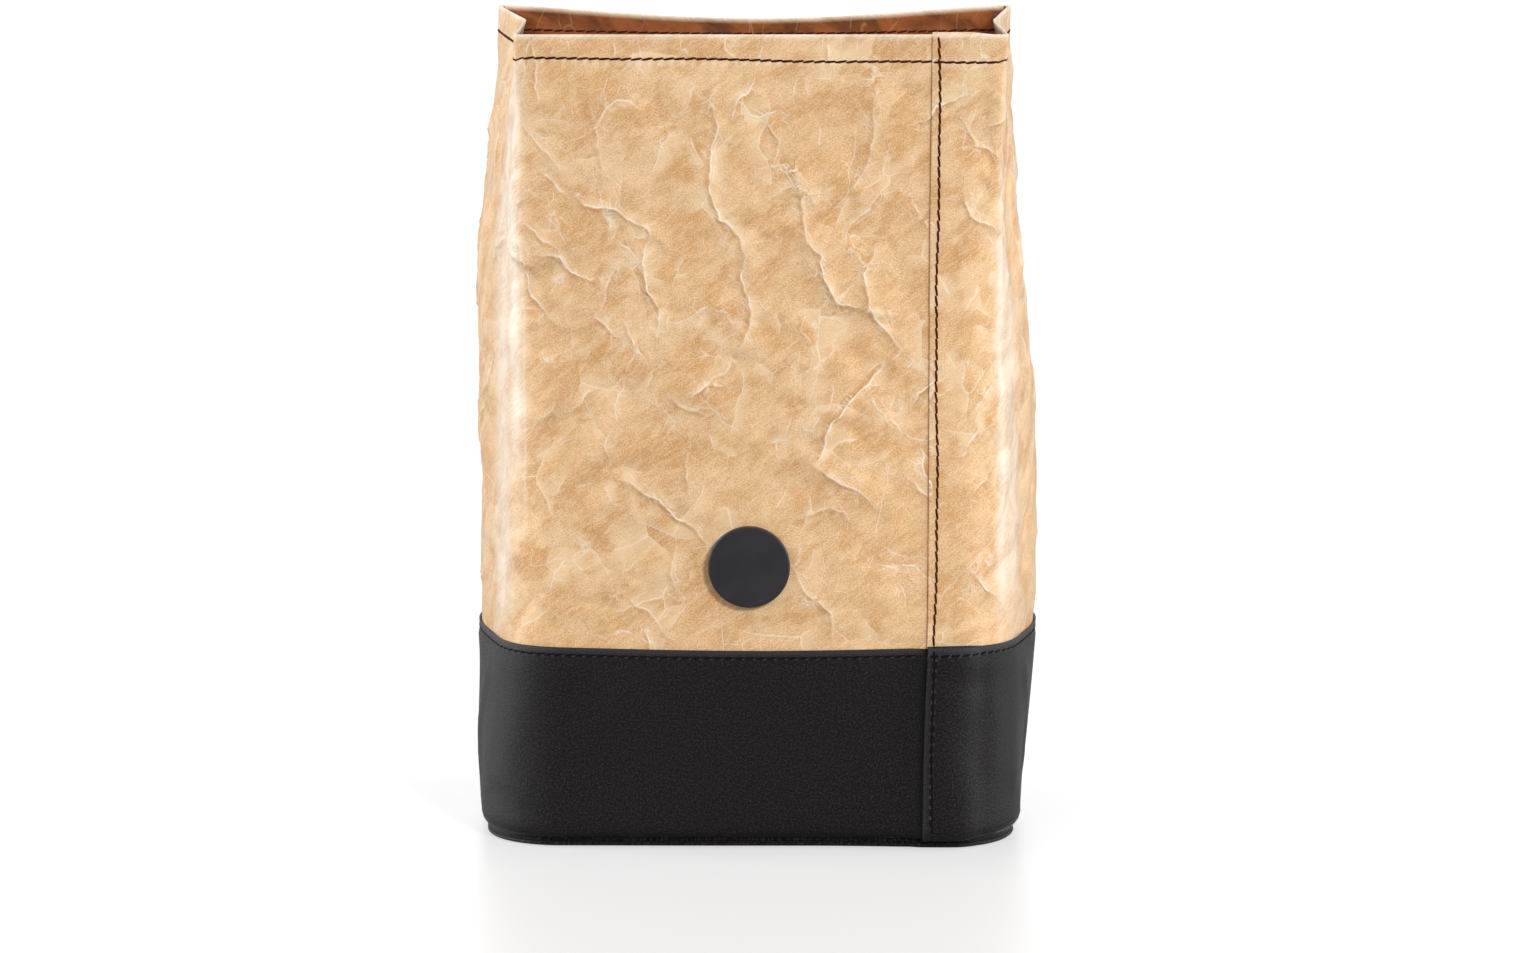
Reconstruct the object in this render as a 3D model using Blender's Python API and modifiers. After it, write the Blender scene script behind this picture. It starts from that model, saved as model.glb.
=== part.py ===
"""Reusable lunch bag in washable kraft paper with a black cloth base.

The bag stands open. One sheet of kraft is wrapped into a gusseted tube and closed by a
lapped seam at the front right. A cloth band wraps the foot of the tube, with a lap of its
own in line with the paper's, and a cloth bottom is sewn inside the band's lower edge.
Front faces -Y, up is +Z, sizes are in metres.
"""

import math

import bmesh
import bpy
import numpy as np
from mathutils import Vector

# Panels of the kraft tube, measured along the sheet between its folds
FRONT_WIDTH = 0.180
BACK_WIDTH = 0.194
GUSSET_WIDTH = 0.118
HEIGHT = 0.300

# Plan of the tube at its belly and at its rim
BELLY_DEPTH = 0.1145
BELLY_REACH = 0.1056
RIM_DEPTH = 0.1155
GUSSET_TUCK = 0.0185
RIM_LEAN = 0.0012
BACK_LEAN = -0.0006
FRONT_BULGE = 0.0110
BACK_BULGE = 0.0090
BACK_CAVE = 0.0120
BACK_DIP = 0.0040
BELLY_ROUNDING = 0.034
RIM_ROUNDING = 0.008
TUCK_RATE = 2.2
BULGE_START = 0.18
BOW_FULLNESS = 1.3
ROUNDING_SAMPLES = 9

# Plan of the foot
FOOT_WIDTH = 0.1990
FOOT_DEPTH = 0.1235
FOOT_CORNER = 0.030
FOOT_SHIFT = -0.0035
FOOT_BLEND = 0.095

# Puts the middle of the whole bag, button included, over the origin
PLAN_SHIFT = (0.00095, 0.0025)

# Where the tube stands out from its folded form, or in from it: place along the sheet,
# height, reach along the sheet, reach up it, depth
SWELLS = [
    (0.150, 0.220, 0.055, 0.045, -0.0045),
    (0.200, 0.272, 0.035, 0.035, -0.0014),
    (-0.195, 0.258, 0.040, 0.045, 0.0030),
    (-0.160, 0.212, 0.045, 0.036, 0.0024),
    (0.075, 0.000, 0.028, 0.035, 0.0045),
]

# Sheets
PAPER = 0.0003
CLOTH = 0.0003
FOLD_GAP = 0.00012
CLEARANCE = 0.0003

# Seams and turned edges
HEM = 0.0112
LAP_PLACE = 0.0625
LAP_TURN = 0.009
LAP_UNDER = 0.013
LAP_EASE = 0.010
BAND_HEIGHT = 0.0745
BAND_HEM = 0.007
BAND_TUCK = 0.012
PAPER_ROWS = 18
BAND_ROWS = 6
SEAM_HEIGHT = 0.0036
SEAM_INSET = 0.0036
SEAM_ALLOWANCE = 0.007
LOWER_ROUNDING = 0.0085
BOTTOM_ROLL = 0.0018
BOTTOM_CURVE = 0.0022

# Button
BUTTON_PLACE = -0.0037
BUTTON_RISE = 0.032
BUTTON_DIAMETER = 0.030
BUTTON_THICKNESS = 0.0036
BUTTON_BEVEL = 0.0009
RIVET_DIAMETER = 0.0032
RIVET_HEAD = 0.0085
RIVET_HEAD_THICKNESS = 0.0010
RIVET_GRIP = 0.0018
WASHER_DIAMETER = 0.014
WASHER_THICKNESS = 0.0009

# Creases pressed into the kraft: place along the sheet from the front's middle, height,
# length, lean from upright in degrees, depth. A minus depth is a dent.
CREASES = [
    (-0.056, 0.233, 0.060, 62, 0.0016),
    (-0.041, 0.205, 0.045, 12, -0.0014),
    (-0.075, 0.205, 0.050, 48, 0.0014),
    (-0.017, 0.226, 0.075, 8, 0.0018),
    (-0.010, 0.200, 0.050, -28, 0.0012),
    (0.017, 0.215, 0.060, 22, 0.0016),
    (0.037, 0.205, 0.055, -24, 0.0015),
    (0.046, 0.186, 0.045, 40, 0.0013),
    (0.026, 0.150, 0.060, -36, 0.0015),
    (-0.050, 0.158, 0.050, -6, 0.0013),
    (-0.030, 0.128, 0.050, 58, 0.0014),
    (0.082, 0.243, 0.040, 66, 0.0015),
    (0.080, 0.160, 0.050, -52, 0.0012),
    (0.026, 0.105, 0.040, 30, 0.0009),
    (-0.120, 0.235, 0.060, 30, 0.0014),
    (-0.135, 0.150, 0.070, -35, -0.0016),
    (-0.165, 0.195, 0.060, 15, 0.0014),
    (0.118, 0.225, 0.055, -40, 0.0015),
    (0.138, 0.140, 0.070, 25, -0.0015),
    (0.165, 0.190, 0.060, -18, 0.0014),
    (-0.235, 0.215, 0.070, 40, 0.0017),
    (-0.270, 0.150, 0.070, -30, 0.0016),
    (-0.300, 0.225, 0.060, 70, -0.0014),
    (0.295, 0.175, 0.070, 20, 0.0017),
    (0.255, 0.225, 0.060, -50, 0.0015),
    (0.235, 0.140, 0.060, 35, 0.0014),
]
CREASE_SPREAD = 0.008
CREASE_STRENGTH = 1.5
CREASE_MARGIN = 0.016

# Colours
KRAFT = (0.730, 0.468, 0.254)
BLACK_CLOTH = (0.016, 0.015, 0.016)
BUTTON_GREY = (0.047, 0.043, 0.047)
RIVET_GREY = (0.35, 0.34, 0.32)

GIRTH = FRONT_WIDTH + BACK_WIDTH + 2 * GUSSET_WIDTH
FRONT_FOLD = FRONT_WIDTH / 2
VALLEY = FRONT_FOLD + GUSSET_WIDTH / 2
BACK_FOLD = FRONT_FOLD + GUSSET_WIDTH
BUTTON_LEVEL = BAND_HEIGHT + BUTTON_RISE


def clear_scene():
    for thing in list(bpy.data.objects):
        bpy.data.objects.remove(thing)


def ease(value, start, end):
    """0 before start, 1 after end, smooth between."""
    t = np.clip((value - start) / (end - start), 0.0, 1.0)
    return t * t * (3 - 2 * t)


def hump(t):
    """A bow over a panel, 0 at both folds and 1 halfway."""
    return np.sin(np.pi * np.clip(t, 0.0, 1.0)) ** BOW_FULLNESS


def foot_outline(place):
    """Point of the foot's rounded rectangle for a place along the sheet."""
    side = FOOT_WIDTH / 2 - FOOT_CORNER
    flank = FOOT_DEPTH - 2 * FOOT_CORNER
    arc = FOOT_CORNER * math.pi / 2
    length = 4 * side + 2 * flank + 4 * arc
    run = np.abs(place) / (GIRTH / 2) * (length / 2)
    x = np.minimum(run, side)
    y = np.full_like(run, -FOOT_DEPTH / 2)
    first = np.clip((run - side) / arc, 0, 1) * math.pi / 2
    x = x + FOOT_CORNER * np.sin(first)
    y = y + FOOT_CORNER * (1 - np.cos(first))
    y = y + np.clip(run - side - arc, 0, flank)
    second = np.clip((run - side - arc - flank) / arc, 0, 1) * math.pi / 2
    x = x - FOOT_CORNER * (1 - np.cos(second))
    y = y + FOOT_CORNER * np.sin(second)
    x = x - np.clip(run - side - 2 * arc - flank, 0, None)
    return np.sign(place) * x + FOOT_SHIFT, y


def tube_corners(height, side):
    """Front fold, gusset valley and back fold of one side, from belly to rim."""
    rise = np.clip((height - HEIGHT / 2) / (HEIGHT / 2), 0.0, 1.0)
    depth = BELLY_DEPTH + (RIM_DEPTH - BELLY_DEPTH) * rise
    tuck = GUSSET_TUCK * rise**TUCK_RATE
    lean = RIM_LEAN * rise
    front = (side * FRONT_WIDTH / 2 + lean, -depth / 2)
    valley = (side * (BELLY_REACH - tuck) + lean, 0 * rise)
    back = (side * BACK_WIDTH / 2 + BACK_LEAN * rise, depth / 2)
    return front, valley, back


def folded_outline(place, height):
    """Point of the folded tube, its folds still sharp."""
    side = np.where(place < 0, -1.0, 1.0)
    away = np.abs(place)
    front, valley, back = tube_corners(height, side)
    rise = np.clip(height / HEIGHT, 0, 1)
    belly = np.sin(np.pi * (BULGE_START + (1 - BULGE_START) * rise))
    to_fold = np.clip(away / FRONT_FOLD, 0, 1)
    x = front[0] * to_fold + (1 - to_fold) * RIM_LEAN * rise
    y = front[1] - FRONT_BULGE * belly * hump(0.5 + to_fold / 2)
    half = GUSSET_WIDTH / 2
    to_valley = np.clip((away - FRONT_FOLD) / half, 0, 1)
    x = np.where(away > FRONT_FOLD, front[0] + (valley[0] - front[0]) * to_valley, x)
    y = np.where(away > FRONT_FOLD, front[1] + (valley[1] - front[1]) * to_valley, y)
    to_back = np.clip((away - VALLEY) / half, 0, 1)
    x = np.where(away > VALLEY, valley[0] + (back[0] - valley[0]) * to_back, x)
    y = np.where(away > VALLEY, valley[1] + (back[1] - valley[1]) * to_back, y)
    to_middle = np.clip((away - BACK_FOLD) / (BACK_WIDTH / 2), 0, 1)
    bow = BACK_BULGE * belly - BACK_CAVE * ease(height, 0.6 * HEIGHT, HEIGHT)
    x = np.where(away > BACK_FOLD, back[0] * (1 - to_middle), x)
    y = np.where(away > BACK_FOLD, back[1] + bow * hump(to_middle / 2), y)
    return x, y


def wrap(place):
    """A place along the sheet, brought back to within half a girth of the front."""
    return (place + GIRTH / 2) % GIRTH - GIRTH / 2


def crease_depth(place, height):
    """How far the pressed creases stand out of the kraft."""
    total = np.zeros_like(place)
    for where, level, length, lean, depth in CREASES:
        tilt = math.radians(lean)
        across = wrap(place - where)
        up = height - level
        along = across * math.sin(tilt) + up * math.cos(tilt)
        off = across * math.cos(tilt) - up * math.sin(tilt)
        fade = np.clip(1 - (2 * along / length) ** 2, 0, 1)
        total += depth * fade * np.exp(-np.abs(off) / CREASE_SPREAD)
    clear = ease(height, BAND_HEIGHT, BAND_HEIGHT + 3 * CREASE_MARGIN)
    clear *= 1 - ease(height, HEIGHT - HEM - CREASE_MARGIN, HEIGHT - HEM)
    seam = LAP_PLACE + LAP_UNDER / 2
    clear *= ease(np.abs(wrap(place - seam)), LAP_UNDER, LAP_UNDER + CREASE_MARGIN)
    reach = np.hypot(wrap(place - BUTTON_PLACE), height - BUTTON_LEVEL)
    clear *= ease(reach, BUTTON_DIAMETER / 2, BUTTON_DIAMETER / 2 + CREASE_MARGIN)
    return CREASE_STRENGTH * total * clear


def swell_depth(place, height):
    """How far the tube swells out of its folded form."""
    total = np.zeros_like(place)
    for where, level, reach, rise, depth in SWELLS:
        away = (wrap(place - where) / reach) ** 2 + ((height - level) / rise) ** 2
        total += depth * np.exp(-away)
    return total


def wall(place, height):
    """Middle of the kraft sheet, in plan, for a place along it and a height."""
    place, height = np.broadcast_arrays(wrap(np.asarray(place, float)), height)
    rounding = BELLY_ROUNDING + (RIM_ROUNDING - BELLY_ROUNDING) * ease(height, 0.5 * HEIGHT, HEIGHT)
    spread = np.linspace(-0.5, 0.5, ROUNDING_SAMPLES)
    points = [folded_outline(wrap(place + step * rounding), height) for step in spread]
    x = sum(point[0] for point in points) / len(spread)
    y = sum(point[1] for point in points) / len(spread)
    foot_x, foot_y = foot_outline(place)
    rise = ease(height, -0.3 * FOOT_BLEND, FOOT_BLEND)
    x = foot_x + (x - foot_x) * rise
    y = foot_y + (y - foot_y) * rise
    outward = np.arctan2(y / BELLY_DEPTH, x / BELLY_REACH)
    depth = swell_depth(place, height) + crease_depth(place, height)
    x = x + depth * np.cos(outward) + PLAN_SHIFT[0]
    y = y + depth * np.sin(outward) + PLAN_SHIFT[1]
    return x, y


def rim_drop(place):
    """How much lower the rim lies at the caved middle of the back."""
    away = np.abs(wrap(place))
    return BACK_DIP * hump((away - BACK_FOLD) / BACK_WIDTH)


def stations():
    """Places along the sheet that carry a column of vertices, all round the bag."""
    lap_ends = [0, LAP_TURN, LAP_UNDER, LAP_UNDER + LAP_EASE]
    lap = LAP_PLACE + np.array([-LAP_EASE] + lap_ends)
    panels = [
        np.linspace(-FRONT_FOLD, lap[0], 14),
        np.linspace(FRONT_FOLD, VALLEY, 5),
        np.linspace(VALLEY, BACK_FOLD, 5),
        np.linspace(BACK_FOLD, BACK_FOLD + BACK_WIDTH, 15),
        np.linspace(-BACK_FOLD, -VALLEY, 5),
        np.linspace(-VALLEY, -FRONT_FOLD, 5),
    ]
    kept = list(lap)
    for place in wrap(np.concatenate(panels)):
        if np.abs(wrap(np.array(kept) - place)).min() > 0.0015:
            kept.append(place)
    return np.sort(wrap(np.array(kept)))


def offset_wall(index, height, offset, ring):
    """Wall points at the ring's stations numbered index, moved out square to both facets there.

    Every layer uses the same stations, so layers offset from the wall stay parallel.
    Gives the points and the wall's direction there.
    """
    here = np.stack(wall(ring[index], height), axis=-1)
    ahead = np.stack(wall(ring[(index + 1) % len(ring)], height), axis=-1) - here
    behind = here - np.stack(wall(ring[index - 1], height), axis=-1)
    ahead /= np.linalg.norm(ahead, axis=-1, keepdims=True)
    behind /= np.linalg.norm(behind, axis=-1, keepdims=True)
    along = ahead + behind
    mitre = np.stack([along[:, 1], -along[:, 0]], axis=-1)
    mitre /= (1 + np.sum(ahead * behind, axis=-1, keepdims=True))
    along /= np.linalg.norm(along, axis=-1, keepdims=True)
    return here + mitre * np.asarray(offset)[:, None], along


def lap_path(thickness):
    """Route of one sheet round the bag, from its turned edge to its under edge.

    The first edge is turned under itself at LAP_PLACE and lies on the last edge.
    Gives each column's station, its lift off the wall and how far beside the station it lies.
    """
    ring = stations()
    step = thickness + FOLD_GAP
    run = (ring - LAP_PLACE + 1e-9) % GIRTH
    order = np.argsort(run)
    start, turn_end, under_end = order[:3]
    top_lift = 2 * step * (1 - ease(run[order], LAP_UNDER, LAP_UNDER + LAP_EASE))
    index = [turn_end, start, start, *order, start, turn_end, under_end]
    lift = [step, step, 1.5 * step, *top_lift, 0, 0, 0]
    aside = np.zeros(len(index))
    aside[2] = -0.8 * step
    return np.array(index), np.array(lift), aside


def lap_height(places, thickness):
    """How far a sheet's own lap stands out, eased in before the seam and out after it."""
    run = wrap(places - LAP_PLACE)
    over = ease(run, -LAP_EASE, -0.2 * LAP_EASE) * (1 - ease(run, LAP_UNDER, LAP_UNDER + LAP_EASE))
    return 2 * (thickness + FOLD_GAP) * over


def sheet_object(name, profile, thickness, material, collection):
    """A sheet that follows the lapped route round the bag and profile up it.

    profile(lift, places) gives rows of (height, offset from the wall), each an array.
    """
    ring = stations()
    index, lift, aside = lap_path(thickness)
    mesh = bmesh.new()
    rows = []
    for height, offset in profile(lift, ring[index]):
        points, along = offset_wall(index, height, offset, ring)
        points = points + along * aside[:, None]
        rows.append([mesh.verts.new((x, y, z)) for (x, y), z in zip(points, height)])
    for low, high in zip(rows, rows[1:]):
        for left in range(len(index) - 1):
            mesh.faces.new((low[left], low[left + 1], high[left + 1], high[left]))
    return finish_sheet(name, mesh, thickness, material, collection)


def finish_sheet(name, mesh, thickness, material, collection):
    data = bpy.data.meshes.new(name)
    mesh.normal_update()
    mesh.to_mesh(data)
    mesh.free()
    data.shade_smooth()
    data.set_sharp_from_angle(angle=math.radians(40))
    thing = bpy.data.objects.new(name, data)
    thing.data.materials.append(material)
    collection.objects.link(thing)
    shell = thing.modifiers.new("sheet thickness", "SOLIDIFY")
    shell.thickness = thickness
    shell.offset = 0
    shell.use_even_offset = True
    return thing


def quarter_turns(count):
    return [math.pi / 2 * step / count for step in range(1, count + 1)]


def paper_profile(lift, places):
    """Kraft from its tucked foot up to the rim and down inside as the hem."""
    drop = rim_drop(places)
    low = BAND_HEIGHT - BAND_TUCK
    rows = [(np.full_like(places, low), lift), (np.full_like(places, BAND_HEIGHT), lift)]
    for step in range(1, PAPER_ROWS + 1):
        share = step / PAPER_ROWS
        level = BAND_HEIGHT + (HEIGHT - HEM - BAND_HEIGHT) * share
        rows.append((level - drop * share**2, lift))
    rows.append((HEIGHT - drop, lift))
    centre = (PAPER + FOLD_GAP) / 2
    radius = centre + lift
    for angle in quarter_turns(1) + [math.pi]:
        rows.append((HEIGHT + radius * math.sin(angle) - drop, -centre + radius * math.cos(angle)))
    rows.append((HEIGHT - HEM - drop, -centre - radius))
    return rows


def band_base(places):
    """Offset of the band's lowest outer layer: clear of the paper and of its own turned edge."""
    over_paper = lap_height(places, PAPER) + PAPER / 2 + CLEARANCE + CLOTH / 2
    return over_paper + CLOTH + FOLD_GAP + lap_height(places, CLOTH)


def band_profile(lift, places):
    """Cloth band: turned edge, top fold, outer face, rounded foot and seam allowance."""
    base = band_base(places)
    centre = (CLOTH + FOLD_GAP) / 2
    radius = centre + lift
    flat = np.ones_like(places)
    top = BAND_HEIGHT
    rows = [((top - BAND_HEM) * flat, base - centre - radius), (top * flat, base - centre - radius)]
    rows.append(((top + radius) * flat, base - centre))
    outer_levels = np.linspace(top, LOWER_ROUNDING, BAND_ROWS + 1)
    rows += [(level * flat, base + lift) for level in outer_levels]
    fall = LOWER_ROUNDING - SEAM_HEIGHT + lift
    for angle in quarter_turns(3):
        inward = base - SEAM_INSET + (SEAM_INSET + lift) * math.cos(angle)
        rows.append(((LOWER_ROUNDING - fall * math.sin(angle)) * flat, inward))
    for angle in quarter_turns(2):
        level = SEAM_HEIGHT + centre - radius * math.cos(angle)
        rows.append((level * flat, base - SEAM_INSET - radius * math.sin(angle)))
    rows.append(((SEAM_HEIGHT + SEAM_ALLOWANCE) * flat, base - SEAM_INSET - radius))
    return rows


def bottom_object(material, collection):
    """Cloth bottom: flat on the ground, rolled up at the edge and sewn inside the band."""
    ring = stations()
    inside = band_base(ring) - SEAM_INSET - CLOTH / 2 - FOLD_GAP / 2 - lap_height(ring, CLOTH)
    seat = inside - CLOTH - CLEARANCE
    rows = [(SEAM_HEIGHT + SEAM_ALLOWANCE, seat), (SEAM_HEIGHT + CLOTH, seat)]
    middle = CLOTH / 2
    crown = SEAM_HEIGHT / 2 - middle
    for angle in (0.35 * math.pi, 0, -0.30 * math.pi):
        level = middle + crown / 2 + crown / 2 * math.sin(angle)
        rows.append((level, seat + BOTTOM_ROLL * math.cos(angle)))
    rows.append((middle, seat - BOTTOM_CURVE))
    mesh = bmesh.new()
    rings = []
    for level, offset in rows:
        outline, along = offset_wall(np.arange(len(ring)), np.full_like(ring, level), offset, ring)
        rings.append([mesh.verts.new((x, y, level)) for x, y in outline])
    for upper, lower in zip(rings, rings[1:]):
        for here in range(len(ring)):
            after = (here + 1) % len(ring)
            mesh.faces.new((upper[here], lower[here], lower[after], upper[after]))
    mesh.faces.new(list(reversed(rings[-1])))
    return finish_sheet("bottom_panel", mesh, CLOTH, material, collection)


def turned(name, profile, segments, material, collection, frame):
    """A turned piece: profile of (radius, height) down its outer side, screwed about Z."""
    data = bpy.data.meshes.new(name)
    verts = [(radius, 0, level) for radius, level in profile]
    data.from_pydata(verts, [(i, i + 1) for i in range(len(verts) - 1)], [])
    thing = bpy.data.objects.new(name, data)
    collection.objects.link(thing)
    thing.data.materials.append(material)
    spin = thing.modifiers.new("turned", "SCREW")
    spin.steps = segments
    spin.render_steps = segments
    spin.use_merge_vertices = True
    spin.merge_threshold = 0.00001
    spin.use_smooth_shade = True
    thing.parent = frame
    return thing


def button_frame(collection):
    """Empty on the wall at the button, its Z out of the bag."""
    ring = np.array([BUTTON_PLACE])
    x, y = wall(ring, BUTTON_LEVEL)
    reach = BUTTON_DIAMETER / 4
    side_x, side_y = wall(ring + reach, BUTTON_LEVEL)
    back_x, back_y = wall(ring - reach, BUTTON_LEVEL)
    up_x, up_y = wall(ring, BUTTON_LEVEL + reach)
    down_x, down_y = wall(ring, BUTTON_LEVEL - reach)
    across = Vector((side_x[0] - back_x[0], side_y[0] - back_y[0], 0))
    upward = Vector((up_x[0] - down_x[0], up_y[0] - down_y[0], 2 * reach))
    frame = bpy.data.objects.new("button_axis", None)
    frame.empty_display_size = BUTTON_DIAMETER
    frame.rotation_euler = across.cross(upward).to_track_quat("Z", "Y").to_euler()
    frame.location = (x[0], y[0], BUTTON_LEVEL)
    collection.objects.link(frame)
    return frame


def button_pieces(cap_material, metal, collection, frame):
    """Cap outside the paper, rivet through it and washer inside."""
    seat = PAPER / 2 + CLEARANCE
    bore = RIVET_DIAMETER / 2 + CLEARANCE
    radius = BUTTON_DIAMETER / 2
    face = seat + BUTTON_THICKNESS
    blind = seat + RIVET_GRIP + CLEARANCE
    cap = [
        (0, face),
        (radius - 2 * BUTTON_BEVEL, face),
        (radius - 0.6 * BUTTON_BEVEL, face - 0.3 * BUTTON_BEVEL),
        (radius, face - BUTTON_BEVEL),
        (radius, seat + BUTTON_BEVEL / 3),
        (radius - BUTTON_BEVEL / 3, seat),
        (bore, seat),
        (bore, blind),
        (0, blind),
    ]
    turned("button_cap", cap, 40, cap_material, collection, frame)
    inner = -seat - WASHER_THICKNESS
    washer = [
        (bore, -seat),
        (WASHER_DIAMETER / 2, -seat),
        (WASHER_DIAMETER / 2, inner),
        (bore, inner),
        (bore, -seat),
    ]
    turned("button_washer", washer, 28, metal, collection, frame)
    head = inner - CLEARANCE
    rivet = [
        (0, seat + RIVET_GRIP),
        (RIVET_DIAMETER / 2, seat + RIVET_GRIP),
        (RIVET_DIAMETER / 2, head),
        (RIVET_HEAD / 2, head),
        (RIVET_HEAD / 2, head - RIVET_HEAD_THICKNESS / 2),
        (RIVET_HEAD / 2 - RIVET_HEAD_THICKNESS / 2, head - RIVET_HEAD_THICKNESS),
        (0, head - RIVET_HEAD_THICKNESS),
    ]
    turned("button_rivet", rivet, 24, metal, collection, frame)


def rivet_hole(paper, cutters, frame):
    """Hole through the front of the kraft for the rivet."""
    bore = RIVET_DIAMETER / 2 + CLEARANCE
    bpy.ops.mesh.primitive_cylinder_add(vertices=24, radius=bore, depth=BUTTON_DIAMETER)
    cutter = bpy.context.object
    cutter.name = "rivet_hole_cutter"
    for owner in list(cutter.users_collection):
        owner.objects.unlink(cutter)
    cutters.objects.link(cutter)
    cutter.parent = frame
    cutter.hide_render = True
    cutter.display_type = "WIRE"
    cut = paper.modifiers.new("rivet hole", "BOOLEAN")
    cut.operation = "DIFFERENCE"
    cut.solver = "EXACT"
    cut.object = cutter


def make_material(name, colour, roughness, metallic=0.0):
    material = bpy.data.materials.new(name)
    material.use_nodes = True
    shader = material.node_tree.nodes["Principled BSDF"]
    shader.inputs["Base Color"].default_value = (*colour, 1)
    shader.inputs["Roughness"].default_value = roughness
    shader.inputs["Metallic"].default_value = metallic
    return material


def new_collection(name):
    collection = bpy.data.collections.new(name)
    bpy.context.scene.collection.children.link(collection)
    return collection


def build():
    clear_scene()
    bag = new_collection("lunch_bag")
    cutters = new_collection("cutters")
    kraft = make_material("kraft paper", KRAFT, 0.72)
    band_cloth = make_material("band cloth", BLACK_CLOTH, 0.62)
    bottom_cloth = make_material("bottom cloth", BLACK_CLOTH, 0.70)
    button_plastic = make_material("button plastic", BUTTON_GREY, 0.45)
    rivet_metal = make_material("rivet metal", RIVET_GREY, 0.35, 1.0)
    paper = sheet_object("paper_body", paper_profile, PAPER, kraft, bag)
    sheet_object("base_band", band_profile, CLOTH, band_cloth, bag)
    bottom_object(bottom_cloth, bag)
    frame = button_frame(bag)
    button_pieces(button_plastic, rivet_metal, bag, frame)
    rivet_hole(paper, cutters, frame)


build()
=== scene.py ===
# Lunch bag in crinkled kraft paper with a black cloth base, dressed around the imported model
# Metres, front faces -Y. Places along the sheets are measured from the middle of the front.

import math
import random

import bpy
import numpy as np
from mathutils import Matrix, Vector


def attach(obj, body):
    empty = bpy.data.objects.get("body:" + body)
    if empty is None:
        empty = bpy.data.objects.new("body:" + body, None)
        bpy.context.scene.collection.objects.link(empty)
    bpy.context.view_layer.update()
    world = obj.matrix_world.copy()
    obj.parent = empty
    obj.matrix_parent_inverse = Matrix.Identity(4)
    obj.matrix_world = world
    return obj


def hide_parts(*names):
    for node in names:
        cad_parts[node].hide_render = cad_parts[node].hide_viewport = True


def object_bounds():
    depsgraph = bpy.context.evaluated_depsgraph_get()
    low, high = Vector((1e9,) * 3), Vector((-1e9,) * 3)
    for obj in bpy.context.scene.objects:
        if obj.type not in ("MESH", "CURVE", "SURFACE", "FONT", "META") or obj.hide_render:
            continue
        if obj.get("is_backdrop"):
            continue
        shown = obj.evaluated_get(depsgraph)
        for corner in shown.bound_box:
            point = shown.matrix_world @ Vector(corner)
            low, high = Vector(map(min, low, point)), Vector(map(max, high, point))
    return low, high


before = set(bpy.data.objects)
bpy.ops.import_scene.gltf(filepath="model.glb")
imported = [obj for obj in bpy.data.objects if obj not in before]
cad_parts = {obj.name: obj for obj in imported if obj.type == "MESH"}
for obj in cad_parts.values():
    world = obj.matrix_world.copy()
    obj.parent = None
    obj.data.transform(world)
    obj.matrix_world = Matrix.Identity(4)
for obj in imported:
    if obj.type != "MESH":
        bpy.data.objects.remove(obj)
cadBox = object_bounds()
print("frame loaded")


# The bag's form: panels between folds, plan at belly, rim and foot
bag = {
    "frontWidth": 0.180,
    "backWidth": 0.194,
    "gussetWidth": 0.118,
    "height": 0.300,
    "bellyDepth": 0.1145,
    "bellyReach": 0.1056,
    "rimDepth": 0.1155,
    "gussetTuck": 0.0185,
    "tuckRate": 2.2,
    "rimLean": 0.0012,
    "backLean": -0.0006,
    "frontBulge": 0.0110,
    "backBulge": 0.0090,
    "backCave": 0.0120,
    "backDip": 0.0040,
    "bulgeStart": 0.18,
    "bowFullness": 1.3,
    "bellyRounding": 0.034,
    "rimRounding": 0.0045,
    "footWidth": 0.1990,
    "footDepth": 0.1235,
    "footCorner": 0.030,
    "footShift": -0.0035,
    "footBlend": 0.095,
    "planShift": (0.00095, 0.0025),
    # Swells out of the folded form: place, height, reach along, reach up, depth
    "swells": [
        (0.150, 0.220, 0.055, 0.045, -0.0045),
        (0.200, 0.272, 0.035, 0.035, -0.0014),
        (-0.195, 0.258, 0.040, 0.045, 0.0030),
        (-0.160, 0.212, 0.045, 0.036, 0.0024),
        (0.075, 0.000, 0.028, 0.035, 0.0045),
        (0.118, 0.250, 0.034, 0.042, -0.0026),
    ],
}
girth = bag["frontWidth"] + bag["backWidth"] + 2 * bag["gussetWidth"]
rimHeight = bag["height"]
frontFold = bag["frontWidth"] / 2
valley = frontFold + bag["gussetWidth"] / 2
backFold = frontFold + bag["gussetWidth"]

seams = {
    "hemStitch": 0.0090,  # below the rim
    "hemDepth": 0.0112,
    "lapPlace": 0.0625,
    "lapTurn": 0.009,
    "lapUnder": 0.013,
    "lapEase": 0.010,
    "lapStitch": 0.0024,  # right of the lap's folded edge
    "bandHeight": 0.0745,
    "bandHem": 0.007,
    "bandTuck": 0.012,
    "bandStitch": 0.0024,  # below the band's top edge
    "seamHeight": 0.0036,
    "seamInset": 0.0036,
    "seamAllowance": 0.007,
    "lowerRounding": 0.0085,
}

lapPlace = seams["lapPlace"]
bandTop = seams["bandHeight"]
hemLow = rimHeight - seams["hemDepth"]

sheet = {"paper": 0.0003, "cloth": 0.0003, "foldGap": 0.00012, "clearance": 0.0003}


def ease(value, start, end):
    t = np.clip((value - start) / (end - start), 0.0, 1.0)
    return t * t * (3 - 2 * t)


def bell(distance, width):
    return np.exp(-((distance / width) ** 2))


def wrap(place):
    return (place + girth / 2) % girth - girth / 2


def hump(t):
    return np.sin(np.pi * np.clip(t, 0.0, 1.0)) ** bag["bowFullness"]


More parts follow.
